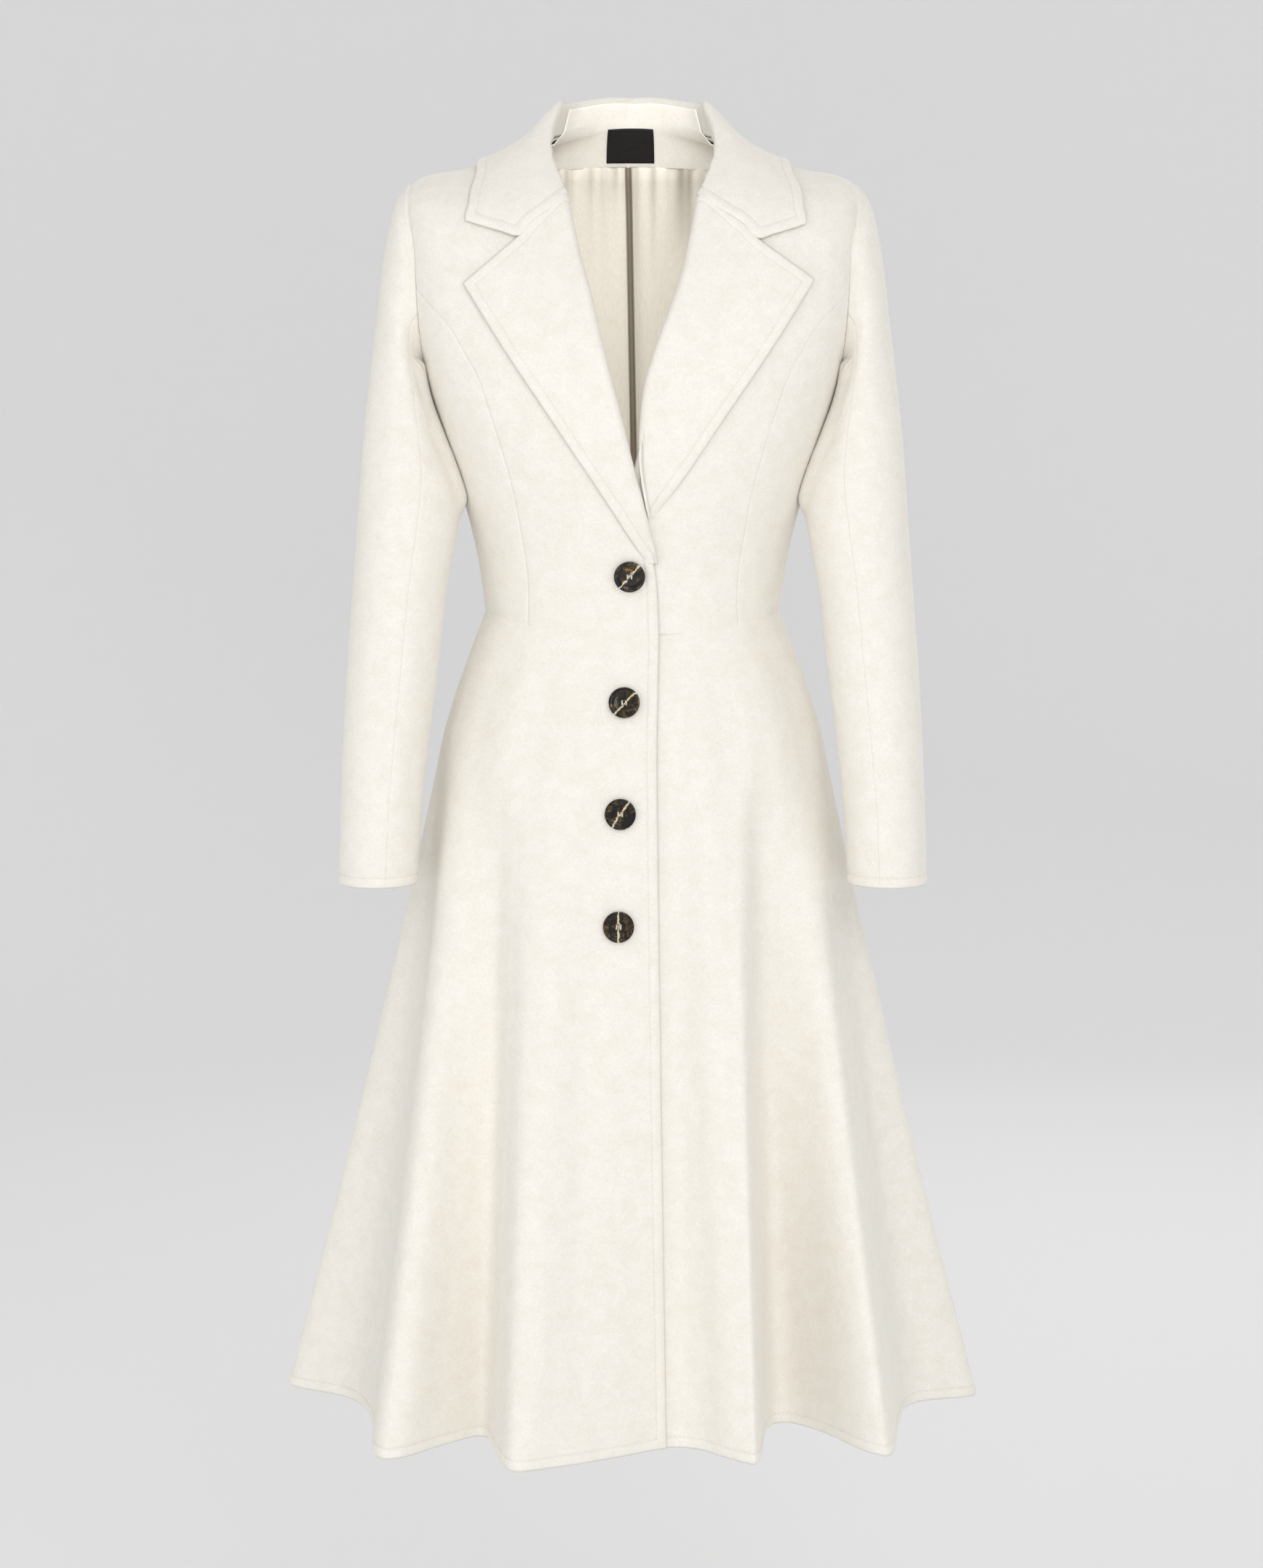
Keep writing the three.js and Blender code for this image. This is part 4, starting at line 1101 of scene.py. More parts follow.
@dataclass(frozen=True)
class Tortoiseshell:
    """Polished acetate in imitation of tortoiseshell: near black with olive and amber clouds."""

    black: str = "#0B0805"
    brown: str = "#2A1A0C"
    olive: str = "#4A4324"
    amber: str = "#A8763A"
    vein: str = "#E6D7AE"
    cloud_mm: float = 7.0
    vein_mm: float = 1.1

    def material(self, centre: Vector, vein_turn: float, index: int) -> bpy.types.Material:
        """One button's acetate.

        Args:
            centre: the button's middle, in metres.
            vein_turn: direction of the pale vein across its face, in radians from upright.
            index: the button's number, so that no two have the same clouds.

        Returns:
            The material.
        """
        material, tree, shader, place = new_material(f"tortoiseshell_acetate_{index}")
        local = add(
            tree,
            "ShaderNodeMapping",
            {"vector_type": "TEXTURE", "Location": centre, "Rotation": (0.0, vein_turn, 0.0)},
            {"Vector": place},
        )
        moved = add(
            tree,
            "ShaderNodeMapping",
            {"Location": (0.071 * index, 0.033 * index, 0.017 * index)},
            {"Vector": local.outputs[0]},
        )
        cloud = add(
            tree,
            "ShaderNodeTexNoise",
            {"Scale": per_mm(self.cloud_mm), "Detail": 3.0, "Distortion": 1.4},
            {"Vector": moved.outputs[0]},
        )
        stops = (
            (0.44, self.black),
            (0.54, self.brown),
            (0.61, self.olive),
            (0.65, self.brown),
            (0.74, self.amber),
        )
        tone = add(tree, "ShaderNodeValToRGB", links={"Fac": cloud.outputs["Fac"]}, stops=stops)
        parts = add(tree, "ShaderNodeSeparateXYZ", links={0: local.outputs[0]})
        waver = add(
            tree,
            "ShaderNodeMath",
            {"operation": "MULTIPLY_ADD", 1: 5 * MM, 2: -2.5 * MM},
            {0: cloud.outputs["Fac"]},
        )
        across = add(
            tree, "ShaderNodeMath", {"operation": "ADD"}, {0: parts.outputs["X"], 1: waver.outputs[0]}
        )
        apart = add(tree, "ShaderNodeMath", {"operation": "ABSOLUTE"}, {0: across.outputs[0]})
        vein = add(
            tree,
            "ShaderNodeMapRange",
            {"interpolation_type": "SMOOTHSTEP", 1: 0.2 * MM, 2: self.vein_mm * MM, 3: 0.85, 4: 0.0},
            {0: apart.outputs[0]},
        )
        colour = add(
            tree,
            "ShaderNodeMix",
            {"data_type": "RGBA", 7: linear(self.vein)},
            {0: vein.outputs[0], 6: tone.outputs["Color"]},
        )
        surface = {"Roughness": 0.12, "Specular IOR Level": 0.38}
        surface |= {"Coat Weight": 0.12, "Coat Roughness": 0.04}
        fit(tree, shader, surface, {"Base Color": colour.outputs[2]})
        return material


@dataclass(frozen=True)
class SewingThread:
    """Spun polyester thread in the wool's colour."""

    light: str = "#EFE9DC"
    dark: str = "#C9BFAC"
    ply_mm: float = 0.7

    def material(self) -> bpy.types.Material:
        """The thread."""
        material, tree, shader, place = new_material("sewing_thread")
        ply = add(tree, "ShaderNodeTexNoise", {"Scale": per_mm(self.ply_mm)}, {"Vector": place})
        tone = add(
            tree,
            "ShaderNodeValToRGB",
            links={"Fac": ply.outputs["Fac"]},
            stops=((0.35, self.dark), (0.65, self.light)),
        )
        fit(tree, shader, {"Roughness": 0.7}, {"Base Color": tone.outputs["Color"]})
        return material


@dataclass(frozen=True)
class StudioPaper:
    """Matt seamless background paper."""

    tone: str = "#F1F1F1"
    grain_mm: float = 4.0

    def material(self) -> bpy.types.Material:
        """The paper."""
        material, tree, shader, place = new_material("background_paper")
        grain = add(tree, "ShaderNodeTexNoise", {"Scale": per_mm(self.grain_mm)}, {"Vector": place})
        bump = add(
            tree, "ShaderNodeBump", {"Strength": 0.02, "Distance": 0.0005}, {"Height": grain.outputs["Fac"]}
        )
        surface = {"Base Color": linear(self.tone), "Roughness": 0.95}
        fit(tree, shader, surface, {"Normal": bump.outputs["Normal"]})
        return material


class Finishes:
    """The coat's materials, made once."""

    def __init__(self) -> None:
        """Makes the materials that several pieces share."""
        self.wool = FeltedWool().material()
        self.satin = SatinLining().material()
        self.label = LabelCloth().material()
        self.thread = SewingThread().material()
        self.paper = StudioPaper().material()


def declare(piece: bpy.types.Object, node: str, material: bpy.types.Material) -> None:
    """Dresses a piece, hangs it from the root and hides the CAD node that it replaces.

    Args:
        piece: the finished object.
        node: the CAD node that it replaces.
        material: its finish.
    """
    piece.data.materials.append(material)
    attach(piece, "root")
    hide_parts(node)


def declare_cloth(
    sheet: Sheet, node: str, material: bpy.types.Material
) -> None:
    """Args:
        sheet: the sheet.
        node: the CAD node that it replaces.
        material: its finish.
    """
    piece = sheet.mesh()
    declare(piece, node, material)
    LOG.info("%s: %d faces, cut %.3f by %.3f m", node, len(piece.data.polygons), *sheet.cut())


def crease_lift(
    sheet_points: Array, creases: Sequence[Crease], on_surface: Callable[[Array], Array]
) -> Array:
    """Height that creases add to a sheet.

    Args:
        sheet_points: the sheet's points.
        creases: the creases.
        on_surface: turns a crease's own points into points of the surface.

    Returns:
        Height along the outward direction.
    """
    lift = np.zeros(sheet_points.shape[:-1])
    for crease in creases:
        table = np.asarray(crease.points, float)
        shares = np.linspace(0, 1, 4 * len(table))
        fine = np.stack([along(table[:, 0], shares), along(table[:, 1], shares)], axis=-1)
        lift += crease.lift(sheet_points, on_surface(fine))
    return lift


SIDE_NAMES = {-1: "right", 1: "left"}


@dataclass
class BodicePanels:
    """Front, side and back panels above the waist."""

    finishes: Finishes
    spacing: float = 4.0
    princess_steps: int = 9
    shoulder_steps: int = 6
    top_steps: int = 5
    neck_steps: int = 8
    princess_front: tuple[tuple[float, float], ...] = (
        (88.5, -411),
        (88, -371),
        (92.5, -336),
        (98.5, -301),
        (110.5, -256),
        (126.5, -208),
        (138.5, -183.5),
        (156.5, -155),
    )
    princess_back: tuple[tuple[float, float], ...] = (
        (58, -397),
        (62, -350),
        (72, -300),
        (88, -250),
        (110, -205),
        (142, -165),
    )
    edge_right: tuple[tuple[float, float], ...] = (
        (21.4, -416),
        (20.4, -390),
        (17.6, -360),
        (10.6, -326),
        (3.6, -298),
        (-3, -277),
        (-16.5, -227),
        (-29.6, -180),
        (-40.8, -134),
        (-51.5, -97),
        (-60.5, -56),
    )
    edge_left: tuple[tuple[float, float], ...] = (
        (-28, -415),
        (-28, -385),
        (-24, -345),
        (-12, -310),
        (2, -277),
        (14, -216),
        (23.8, -180),
        (36.3, -145),
        (48.6, -110),
        (55.5, -85),
        (61, -56),
    )
    front_creases: tuple[Crease, ...] = (
        Crease(((-150, -190), (-132, -205), (-112, -214), (-92, -216)), -1.3, 7),
        Crease(((-140, -170), (-128, -176), (-112, -178)), -0.9, 6),
        Crease(((148, -196), (132, -208), (114, -214)), -1.1, 7),
        Crease(((30, -372), (52, -366), (78, -370)), -0.5, 8),
        Crease(((-26, -366), (-52, -358), (-84, -362)), -0.5, 9),
        Crease(((-118, -300), (-104, -330), (-96, -372)), 0.7, 12),
        Crease(((118, -296), (106, -330), (98, -376)), 0.7, 12),
    )
    back_creases: tuple[Crease, ...] = (
        Crease(((-96, -372), (-48, -356), (2, -360), (52, -354), (94, -368)), -1.2, 9),
        Crease(((-72, -332), (-30, -322), (16, -326)), -0.8, 8),
        Crease(((-148, -190), (-122, -206), (-92, -212)), -1.3, 9),
        Crease(((146, -184), (124, -202), (96, -210)), -1.2, 8),
        Crease(((-30, -120), (4, -126), (40, -118)), -0.6, 12),
        Crease(((-132, -120), (-126, -160), (-112, -200)), 0.9, 12),
        Crease(((134, -116), (127, -158), (114, -196)), 0.8, 12),
    )

    def build(self) -> None:
        self.front(-1, self.edge_right, BODICE.point)
        self.front(1, self.edge_left, UNDER.on_bodice)
        for side in SIDE_NAMES:
            self.side(side, True)
            self.side(side, False)
        self.back()

    def seam(self, side: int, front: bool) -> Line:
        """Princess seam of one side, from the waist to the armhole."""
        table = np.array(self.princess_front if front else self.princess_back, float)
        turn, rise = BODICE.seen(side * table[:, 0], table[:, 1], back=not front)
        if not front and side < 0:
            turn = turn - 2 * math.pi
        rise[0] = 0
        end_turn, end_rise = BODICE.armhole(side, np.array([QUARTER if front else 3 * QUARTER]))
        return line_of(np.stack([np.append(turn, end_turn), np.append(rise, end_rise)], axis=-1))

    def seen_line(self, rows: Sequence[tuple[float, float]]) -> Array:
        """Parameters of a seen table of points."""
        table = np.array(rows, float)
        return pair(*BODICE.seen(table[:, 0], table[:, 1]))

    def front(self, side: int, rows: Sequence[tuple[float, float]], surface: Surface) -> None:
        """Front panel of one side, between its edge and its princess seam."""
        places = self.seen_line(rows)
        places[0, 1] = 0
        turn, rise = NECK_CORNER
        ends = [[side * QUARTER * turn, rise], [side * QUARTER, 1]]
        whole = line_of(np.concatenate([places, ends]))
        level = self.share_at_height(whole, BODICE.armhole_z)
        edge = chained(
            [
                (lambda share: whole(share * level), self.princess_steps),
                (lambda share: whole(mix(level, 1, share)), self.shoulder_steps),
            ]
        )
        seam = chained(
            [
                (self.seam(side, True), self.princess_steps),
                (lambda share: pair(*BODICE.armhole(side, QUARTER * (1 - share))), self.shoulder_steps),
            ]
        )
        region = patch(
            straight(edge(np.array(0.0)), seam(np.array(0.0))),
            straight((side * QUARTER, 1), (side * QUARTER, BODICE.shoulder_rise)),
            edge,
            seam,
        )
        princess = Rim.PRESSED if side > 0 else Rim.SEAM
        rims = {"bottom": Rim.PRESSED, "top": Rim.PRESSED, "left": Rim.EDGE, "right": princess}
        self.panel(f"front_{SIDE_NAMES[side]}", region, rims, surface, (110, 430), self.front_creases)

    def side(self, side: int, front: bool) -> None:
        """Side panel between a princess seam and the side seam."""
        low_turn, low_rise = BODICE.armhole(side, np.array(math.pi))
        seam = self.seam(side, front)
        side_seam = straight((side * QUARTER, 0), (float(low_turn), float(low_rise)))
        ahead = 1 if front else -1
        region = patch(
            straight((side * QUARTER, 0), seam(np.array(0.0))),
            lambda share: pair(*BODICE.armhole(side, math.pi - ahead * QUARTER * share)),
            side_seam,
            seam,
        )
        rims = {"bottom": Rim.PRESSED, "top": Rim.PRESSED, "left": Rim.SEAM}
        rims["right"] = Rim.PRESSED if front and side > 0 else Rim.SEAM
        name = f"side_{'front' if front else 'back'}_{SIDE_NAMES[side]}"
        creases = self.front_creases if front else self.back_creases
        self.panel(name, region, rims, BODICE.point, (90, 190), creases, back=not front)

    def back(self) -> None:
        """Centre back panel, from princess seam to princess seam and up to both shoulders."""
        right = chained(
            [
                (self.seam(1, False), self.princess_steps),
                (lambda share: pair(*BODICE.armhole(1, QUARTER * (3 + share))), self.shoulder_steps),
            ]
        )

        def mirrored(places: Array) -> Array:
            """The same places on the other side."""
            return pair(2 * math.pi - places[..., 0], places[..., 1])

        shoulder = straight((QUARTER, BODICE.shoulder_rise), (QUARTER, 1))
        top = chained(
            [
                (shoulder, self.top_steps),
                (straight((QUARTER, 1), (3 * QUARTER, 1)), self.neck_steps),
                (lambda share: mirrored(shoulder(1 - share)), self.top_steps),
            ]
        )
        start = right(np.array(0.0))
        region = patch(
            straight(start, mirrored(start)), top, right, lambda share: mirrored(right(share))
        )
        rims = dict.fromkeys(("bottom", "top", "left", "right"), Rim.SEAM)
        self.panel("back", region, rims, BODICE.point, (300, 400), self.back_creases, back=True)

    def panel(
        self,
        name: str,
        region: Callable[[Array, Array], Array],
        rims: dict[str, Rim],
        surface: Surface,
        size: tuple[float, float],
        creases: Sequence[Crease],
        back: bool = False,
    ) -> None:
        """Makes and declares one panel over a patch of the bodice."""
        s = stations(size[0], self.spacing, rims["left"], rims["right"])
        t = stations(size[1], self.spacing, rims["bottom"], rims["top"])
        across, up = np.meshgrid(s, t)
        places = region(across, up)
        points = surface(places[..., 0], places[..., 1])
        outs = BODICE.out(places[..., 0], places[..., 1])

        def on_bodice(line: Array) -> Array:
            """Points of the bodice seen from this panel's side."""
            return BODICE.point(*BODICE.seen(line[:, 0], line[:, 1], back))

        lift = crease_lift(points, creases, on_bodice)
        sheet = Sheet(f"wool_{name}", points, outs, rims, lift=lift)
        declare_cloth(sheet, name, self.finishes.wool)

    @staticmethod
    def share_at_height(line: Line, height: float) -> float:
        """Share of a rising line on the bodice at which it reaches a height."""
        low, high = 0.0, 1.0
        for _ in range(40):
            middle = 0.5 * (low + high)
            place = line(np.array(middle))
            if BODICE.point(place[0], place[1])[2] < height:
                low = middle
            else:
                high = middle
        return low


@dataclass
class Sleeves:
    """Two-piece sleeves, hanging just clear of the sides."""

    finishes: Finishes
    spacing: float = 4.5
    girth: float = 300
    length: float = 600
    cap_puff: float = 1.6
    cap_down: float = 0.02
    creases: tuple[Crease, ...] = (
        Crease(((95, 0.36), (120, 0.385), (150, 0.40)), -1.8, 9),
        Crease(((70, 0.42), (100, 0.44), (140, 0.455)), -1.6, 9),
        Crease(((95, 0.50), (125, 0.515), (160, 0.52)), -1.3, 8),
        Crease(((60, 0.16), (85, 0.22), (105, 0.30)), -1.4, 10),
        Crease(((250, 0.20), (235, 0.27), (220, 0.33)), -1.4, 10),
        Crease(((240, 0.40), (215, 0.425), (190, 0.435)), -1.6, 9),
        Crease(((25, 0.10), (30, 0.32), (28, 0.60)), 0.8, 14),
    )

    def build(self) -> None:
        full = 2 * math.pi
        for side, name in SIDE_NAMES.items():
            self.panel(side, f"sleeve_under_{name}", SLEEVE.under_from * full, SLEEVE.under_to * full)
            self.panel(side, f"sleeve_top_{name}", (SLEEVE.under_to - 1) * full, SLEEVE.under_from * full)

    def panel(self, side: int, name: str, start: float, end: float) -> None:
        """Makes and declares one sleeve panel between two angles."""
        rims = {"bottom": Rim.PRESSED, "top": Rim.EDGE, "left": Rim.PRESSED, "right": Rim.PRESSED}
        s = stations(self.girth * (end - start) / (2 * math.pi), self.spacing, Rim.PRESSED, Rim.PRESSED)
        t = stations(self.length, self.spacing, Rim.SEAM, Rim.EDGE)
        angle, down = np.meshgrid(mix(start, end, s), t)
        points = SLEEVE.point(side, angle, down)
        outs = grid_outward(points, 1.0)
        centre = points.mean(axis=1, keepdims=True)
        if float((outs * (points - centre)).sum()) < 0:
            outs = -outs
        points, outs = tucked(points, outs)
        angle, down = (np.concatenate([grid[:1], grid]) for grid in (angle, down))
        lift = crease_lift(points, self.creases, lambda line: self.crease_points(side, line))
        cap = bell(down - self.cap_down, self.cap_down) * smooth(0.2, 0.9, np.cos(angle))
        sheet = Sheet(f"wool_{name}", points, outs, rims, lift=lift + self.cap_puff * cap)
        declare_cloth(sheet, name, self.finishes.wool)

    @staticmethod
    def crease_points(side: int, line: Array) -> Array:
        """Points of a sleeve at angles in degrees and shares down."""
        return SLEEVE.point(side, np.radians(line[:, 0]), line[:, 1])


class Cut(NamedTuple):
    """Outline of a lapel as seen from the front."""

    side: int
    roll: tuple[tuple[float, float], ...]
    edge: tuple[tuple[float, float], ...]
    notch: tuple[float, float]
    tip: tuple[float, float]
    free_from: float


LAPEL_RIGHT = Cut(
    -1,
    (
        (16.9, -356),
        (9.6, -326),
        (2.9, -298),
        (-2.8, -277),
        (-15.2, -227),
        (-27.6, -180),
        (-38.3, -134),
        (-48.3, -97),
        (-57.4, -54),
    ),
    (
        (11.5, -356),
        (-17, -310),
        (-48, -263),
        (-79, -217),
        (-109, -172),
        (-138, -126),
    ),
    (-94, -88),
    (-138, -126),
    -500,
)
LAPEL_LEFT = Cut(
    1,
    (
        (17.4, -318),
        (14.4, -304),
        (11, -284),
        (9.5, -262),
        (12.3, -216),
        (22, -180),
        (34.5, -145),
        (46, -110),
        (58, -54),
    ),
    (
        (19.5, -317),
        (45, -279),
        (71, -240),
        (97, -202),
        (123, -163),
        (148, -123),
    ),
    (103, -90),
    (148, -123),
    -262,
)


@dataclass
class Lapels:
    """Lapels that roll over at the roll line and lie on the fronts."""

    finishes: Finishes
    width: float = 130
    length: float = 330
    bend_from: float = 0.55
    roll_length: float = 25
    roll_lift: float = 2.6
    edge_lift: float = 1.2
    end_share: float = 0.14
    end_lift: float = 0.06
    gorge_under: float = 2.6
    roll_profile: tuple[tuple[float, float], ...] = (
        (2.2, -2.6),
        (3.9, -1.2),
        (4.4, 0.8),
        (3.9, 2.9),
        (2.4, 4.9),
        (0.0, 6.2),
    )

    def build(self) -> None:
        """Makes and declares both lapels."""
        self.lapel(LAPEL_RIGHT, BODICE.point)
        self.lapel(LAPEL_LEFT, UNDER.on_bodice)

    def lapel(self, cut: Cut, surface: Surface) -> None:
        """Makes and declares one lapel over its front panel."""
        roll_part = np.linspace(0, 1, 10)[:-1]
        flat_part = stations(self.width, 4.0, Rim.PLAIN, Rim.EDGE)
        up = stations(self.length, 3.6, Rim.PLAIN, Rim.EDGE)[:, None]
        roll, edge = np.array(cut.roll, float), np.array(cut.edge, float)
        roll_x, roll_z = along(roll[:, 0], up), along(roll[:, 1], up)
        edge_x, edge_z = along(edge[:, 0], up), along(edge[:, 1], up)
        free = smooth(cut.free_from, cut.free_from + self.roll_length, roll_z)
        profile = np.array(self.roll_profile)
        beyond = along(profile[:, 0], roll_part)[None, :]
        rolled_lift = along(profile[:, 1], roll_part)[None, :]
        low_lift = mix(LAPEL_LIFT, rolled_lift, free)
        share = flat_part[None, :]
        bend = smooth(self.bend_from, 1, up)
        shape_x, shape_z = self.gorge_shape(cut, share)
        x = mix(roll_x, edge_x, share) + bend * shape_x
        under = smooth(0.0, 0.08, share) * (1 - smooth(0.38, 0.5, share))
        z = mix(roll_z, edge_z, share) + bend * shape_z + self.gorge_under * under * bend**6
        lift = LAPEL_LIFT + self.roll_lift * (1 - share) ** 2 * np.clip(3 * up, 0, 1)
        lift = lift + self.edge_lift * smooth(0.55, 1, share) * smooth(0.1, 0.5, up)
        xs = np.concatenate([roll_x - cut.side * beyond + 0 * up, x], axis=1)
        zs = np.concatenate([roll_z + 0 * beyond, z], axis=1)
        lifts = np.concatenate([low_lift + 0 * up, lift], axis=1)
        lifts = lifts * mix(self.end_lift, 1.0, smooth(0.0, self.end_share, up))
        turn, rise = BODICE.seen(xs, zs)
        points = surface(turn, rise) + BODICE.out(turn, rise) * lifts[..., None]
        outs = grid_outward(points, 1.0)
        if float((outs[:, -8:] * BODICE.out(turn, rise)[:, -8:]).sum()) < 0:
            outs = -outs
        rims = {"bottom": Rim.PLAIN, "top": Rim.EDGE, "left": Rim.PLAIN, "right": Rim.EDGE}
        name = f"lapel_{SIDE_NAMES[cut.side]}"
        declare_cloth(Sheet(f"wool_{name}", points, outs, rims), name, self.finishes.wool)

    @staticmethod
    def gorge_shape(cut: Cut, share: Array) -> tuple[Array, Array]:
        """How far the gorge line bends away from a straight line between its ends."""
        top, notch, tip = cut.roll[-1], cut.notch, cut.tip
        first = np.clip(2 * share, 0, 1)
        second = np.clip(2 * share - 1, 0, 1)
        bent = [mix(mix(top[k], notch[k], first), tip[k], second) for k in (0, 1)]
        plain = [mix(top[k], tip[k], share) for k in (0, 1)]
        return bent[0] - plain[0], bent[1] - plain[1]


@dataclass
class Collar:
    """Notched collar: stand, fold and fall in one piece round the neck."""

    finishes: Finishes
    front_rows: int = 44
    back_rows: int = 40
    width: float = 110
    stand_inside: float = 3
    stand_lean: float = 7
    fall_power: float = 3
    notch_gap: float = 1.2
    roll_out: float = 4.0
    falls: int = 6
    front_right: tuple[tuple[float, float], ...] = ((-137.5, -74), (-135, -59), (-132.4, -43), (-130, -31))
    front_left: tuple[tuple[float, float], ...] = ((142, -77), (140.5, -60), (137.5, -43), (132.5, -31))
    back_edge: tuple[tuple[float, float], ...] = (
        (90, 0.895),
        (112, 0.9),
        (135, 0.893),
        (158, 0.885),
        (180, 0.88),
    )

    def build(self) -> None:
        right = self.half(LAPEL_RIGHT, self.front_right, BodicePanels.edge_right[-1])
        left = self.half(LAPEL_LEFT, self.front_left, BodicePanels.edge_left[-1])
        points = np.concatenate([right, left[::-1][1:]])
        columns = stations(self.width, 3.6, Rim.PLAIN, Rim.EDGE)
        fine = np.stack([self.spline(row, columns) for row in points])
        outs = grid_outward(fine, -1.0)
        rims = {"bottom": Rim.EDGE, "top": Rim.EDGE, "left": Rim.PLAIN, "right": Rim.EDGE}
        declare_cloth(Sheet("wool_collar", fine, outs, rims), "collar", self.finishes.wool)

    @staticmethod
    def spline(row: Array, shares: Array) -> Array:
        """Smooth curve through the points of one row, by share of its length."""
        steps = np.linalg.norm(np.diff(row, axis=0), axis=1)
        lengths = np.concatenate([[0.0], np.cumsum(steps)])
        places = np.interp(shares * lengths[-1], lengths, np.linspace(0, 1, len(row)))
        return np.stack([along(row[:, k], places) for k in range(3)], axis=-1)

    def half(self, cut: Cut, front: Sequence[tuple[float, float]], edge_end: tuple[float, float]) -> Array:
        """Rows of one half, from its front edge to the centre back."""
        side = cut.side
        turn, rise = NECK_CORNER
        start = (cut.roll[-1][0] - side * self.roll_out, cut.roll[-1][1])
        neck_seen = [start, (side * (abs(edge_end[0]) + 3), edge_end[1] + 18)]
        table = np.array(neck_seen, float)
        seen = pair(*BODICE.seen(table[:, 0], table[:, 1]))
        neck_line = line_of(np.concatenate([seen, [[side * QUARTER * turn, rise], [side * QUARTER, 1]]]))
        front_table = np.array(front, float)
        front_seen = pair(*BODICE.seen(front_table[:, 0], front_table[:, 1]))
        shoulder = [[side * math.radians(self.back_edge[0][0]), self.back_edge[0][1]]]
        front_line = line_of(np.concatenate([front_seen, shoulder]))
        back_table = np.array([(side * math.radians(angle), high) for angle, high in self.back_edge])
        back_line = line_of(back_table)
        notch = pair(*BODICE.seen(np.array(cut.notch[0]), np.array(cut.notch[1] + self.notch_gap)))
        rows = []
        for part in np.linspace(0, 1, self.front_rows + 1):
            lead = (1 - part) ** 2
            stand = STAND_SIDE * float(smooth(0, 1, part))
            rows.append(self.row(neck_line(np.array(part)), front_line(np.array(part)), notch, lead, stand))
        for part in np.linspace(0, 1, self.back_rows + 1)[1:]:
            neck = np.array([side * mix(QUARTER, math.pi, part), 1.0])
            stand = mix(STAND_SIDE, STAND_BACK, part)
            rows.append(self.row(neck, back_line(np.array(part)), notch, 0.0, stand))
        return np.stack(rows)

    def row(self, neck: Array, outer: Array, notch: Array, lead: float, stand: float) -> Array:
        """Points of one row: foot, stand, fold and fall."""
        up = np.array([0.0, 0.0, 1.0])
        level = BODICE.out(neck[0], neck[1]) * np.array([1.0, 1.0, 0.0])
        level = level / np.linalg.norm(level)
        full = float(smooth(0, STAND_BACK, stand))
        lean = self.stand_lean * full
        foot = BODICE.point(neck[0], neck[1]) - level * self.stand_inside * full
        low = max(stand, 2.0)
        bent = mix(0.5 * (neck + outer), notch, lead)
        points = [
            foot + 0.8 * up,
            foot + 0.5 * low * up - 0.5 * lean * level,
            foot + (low - 1.5) * up + (0.4 - lean) * level,
            foot + (low + 1.5) * up + (3 - lean) * level,
        ]
        for j in range(1, self.falls + 1):
            share = j / self.falls
            place = mix(neck, bent, 2 * share) if share < 0.5 else mix(bent, outer, 2 * share - 1)
            point = BODICE.point(place[0], place[1]) + BODICE.out(place[0], place[1]) * COLLAR_LIFT
            lift = low * (1 - share) ** self.fall_power
            points.append(point + up * lift + level * (4 - lean) * (1 - share) ** 2)
        return np.stack(points)


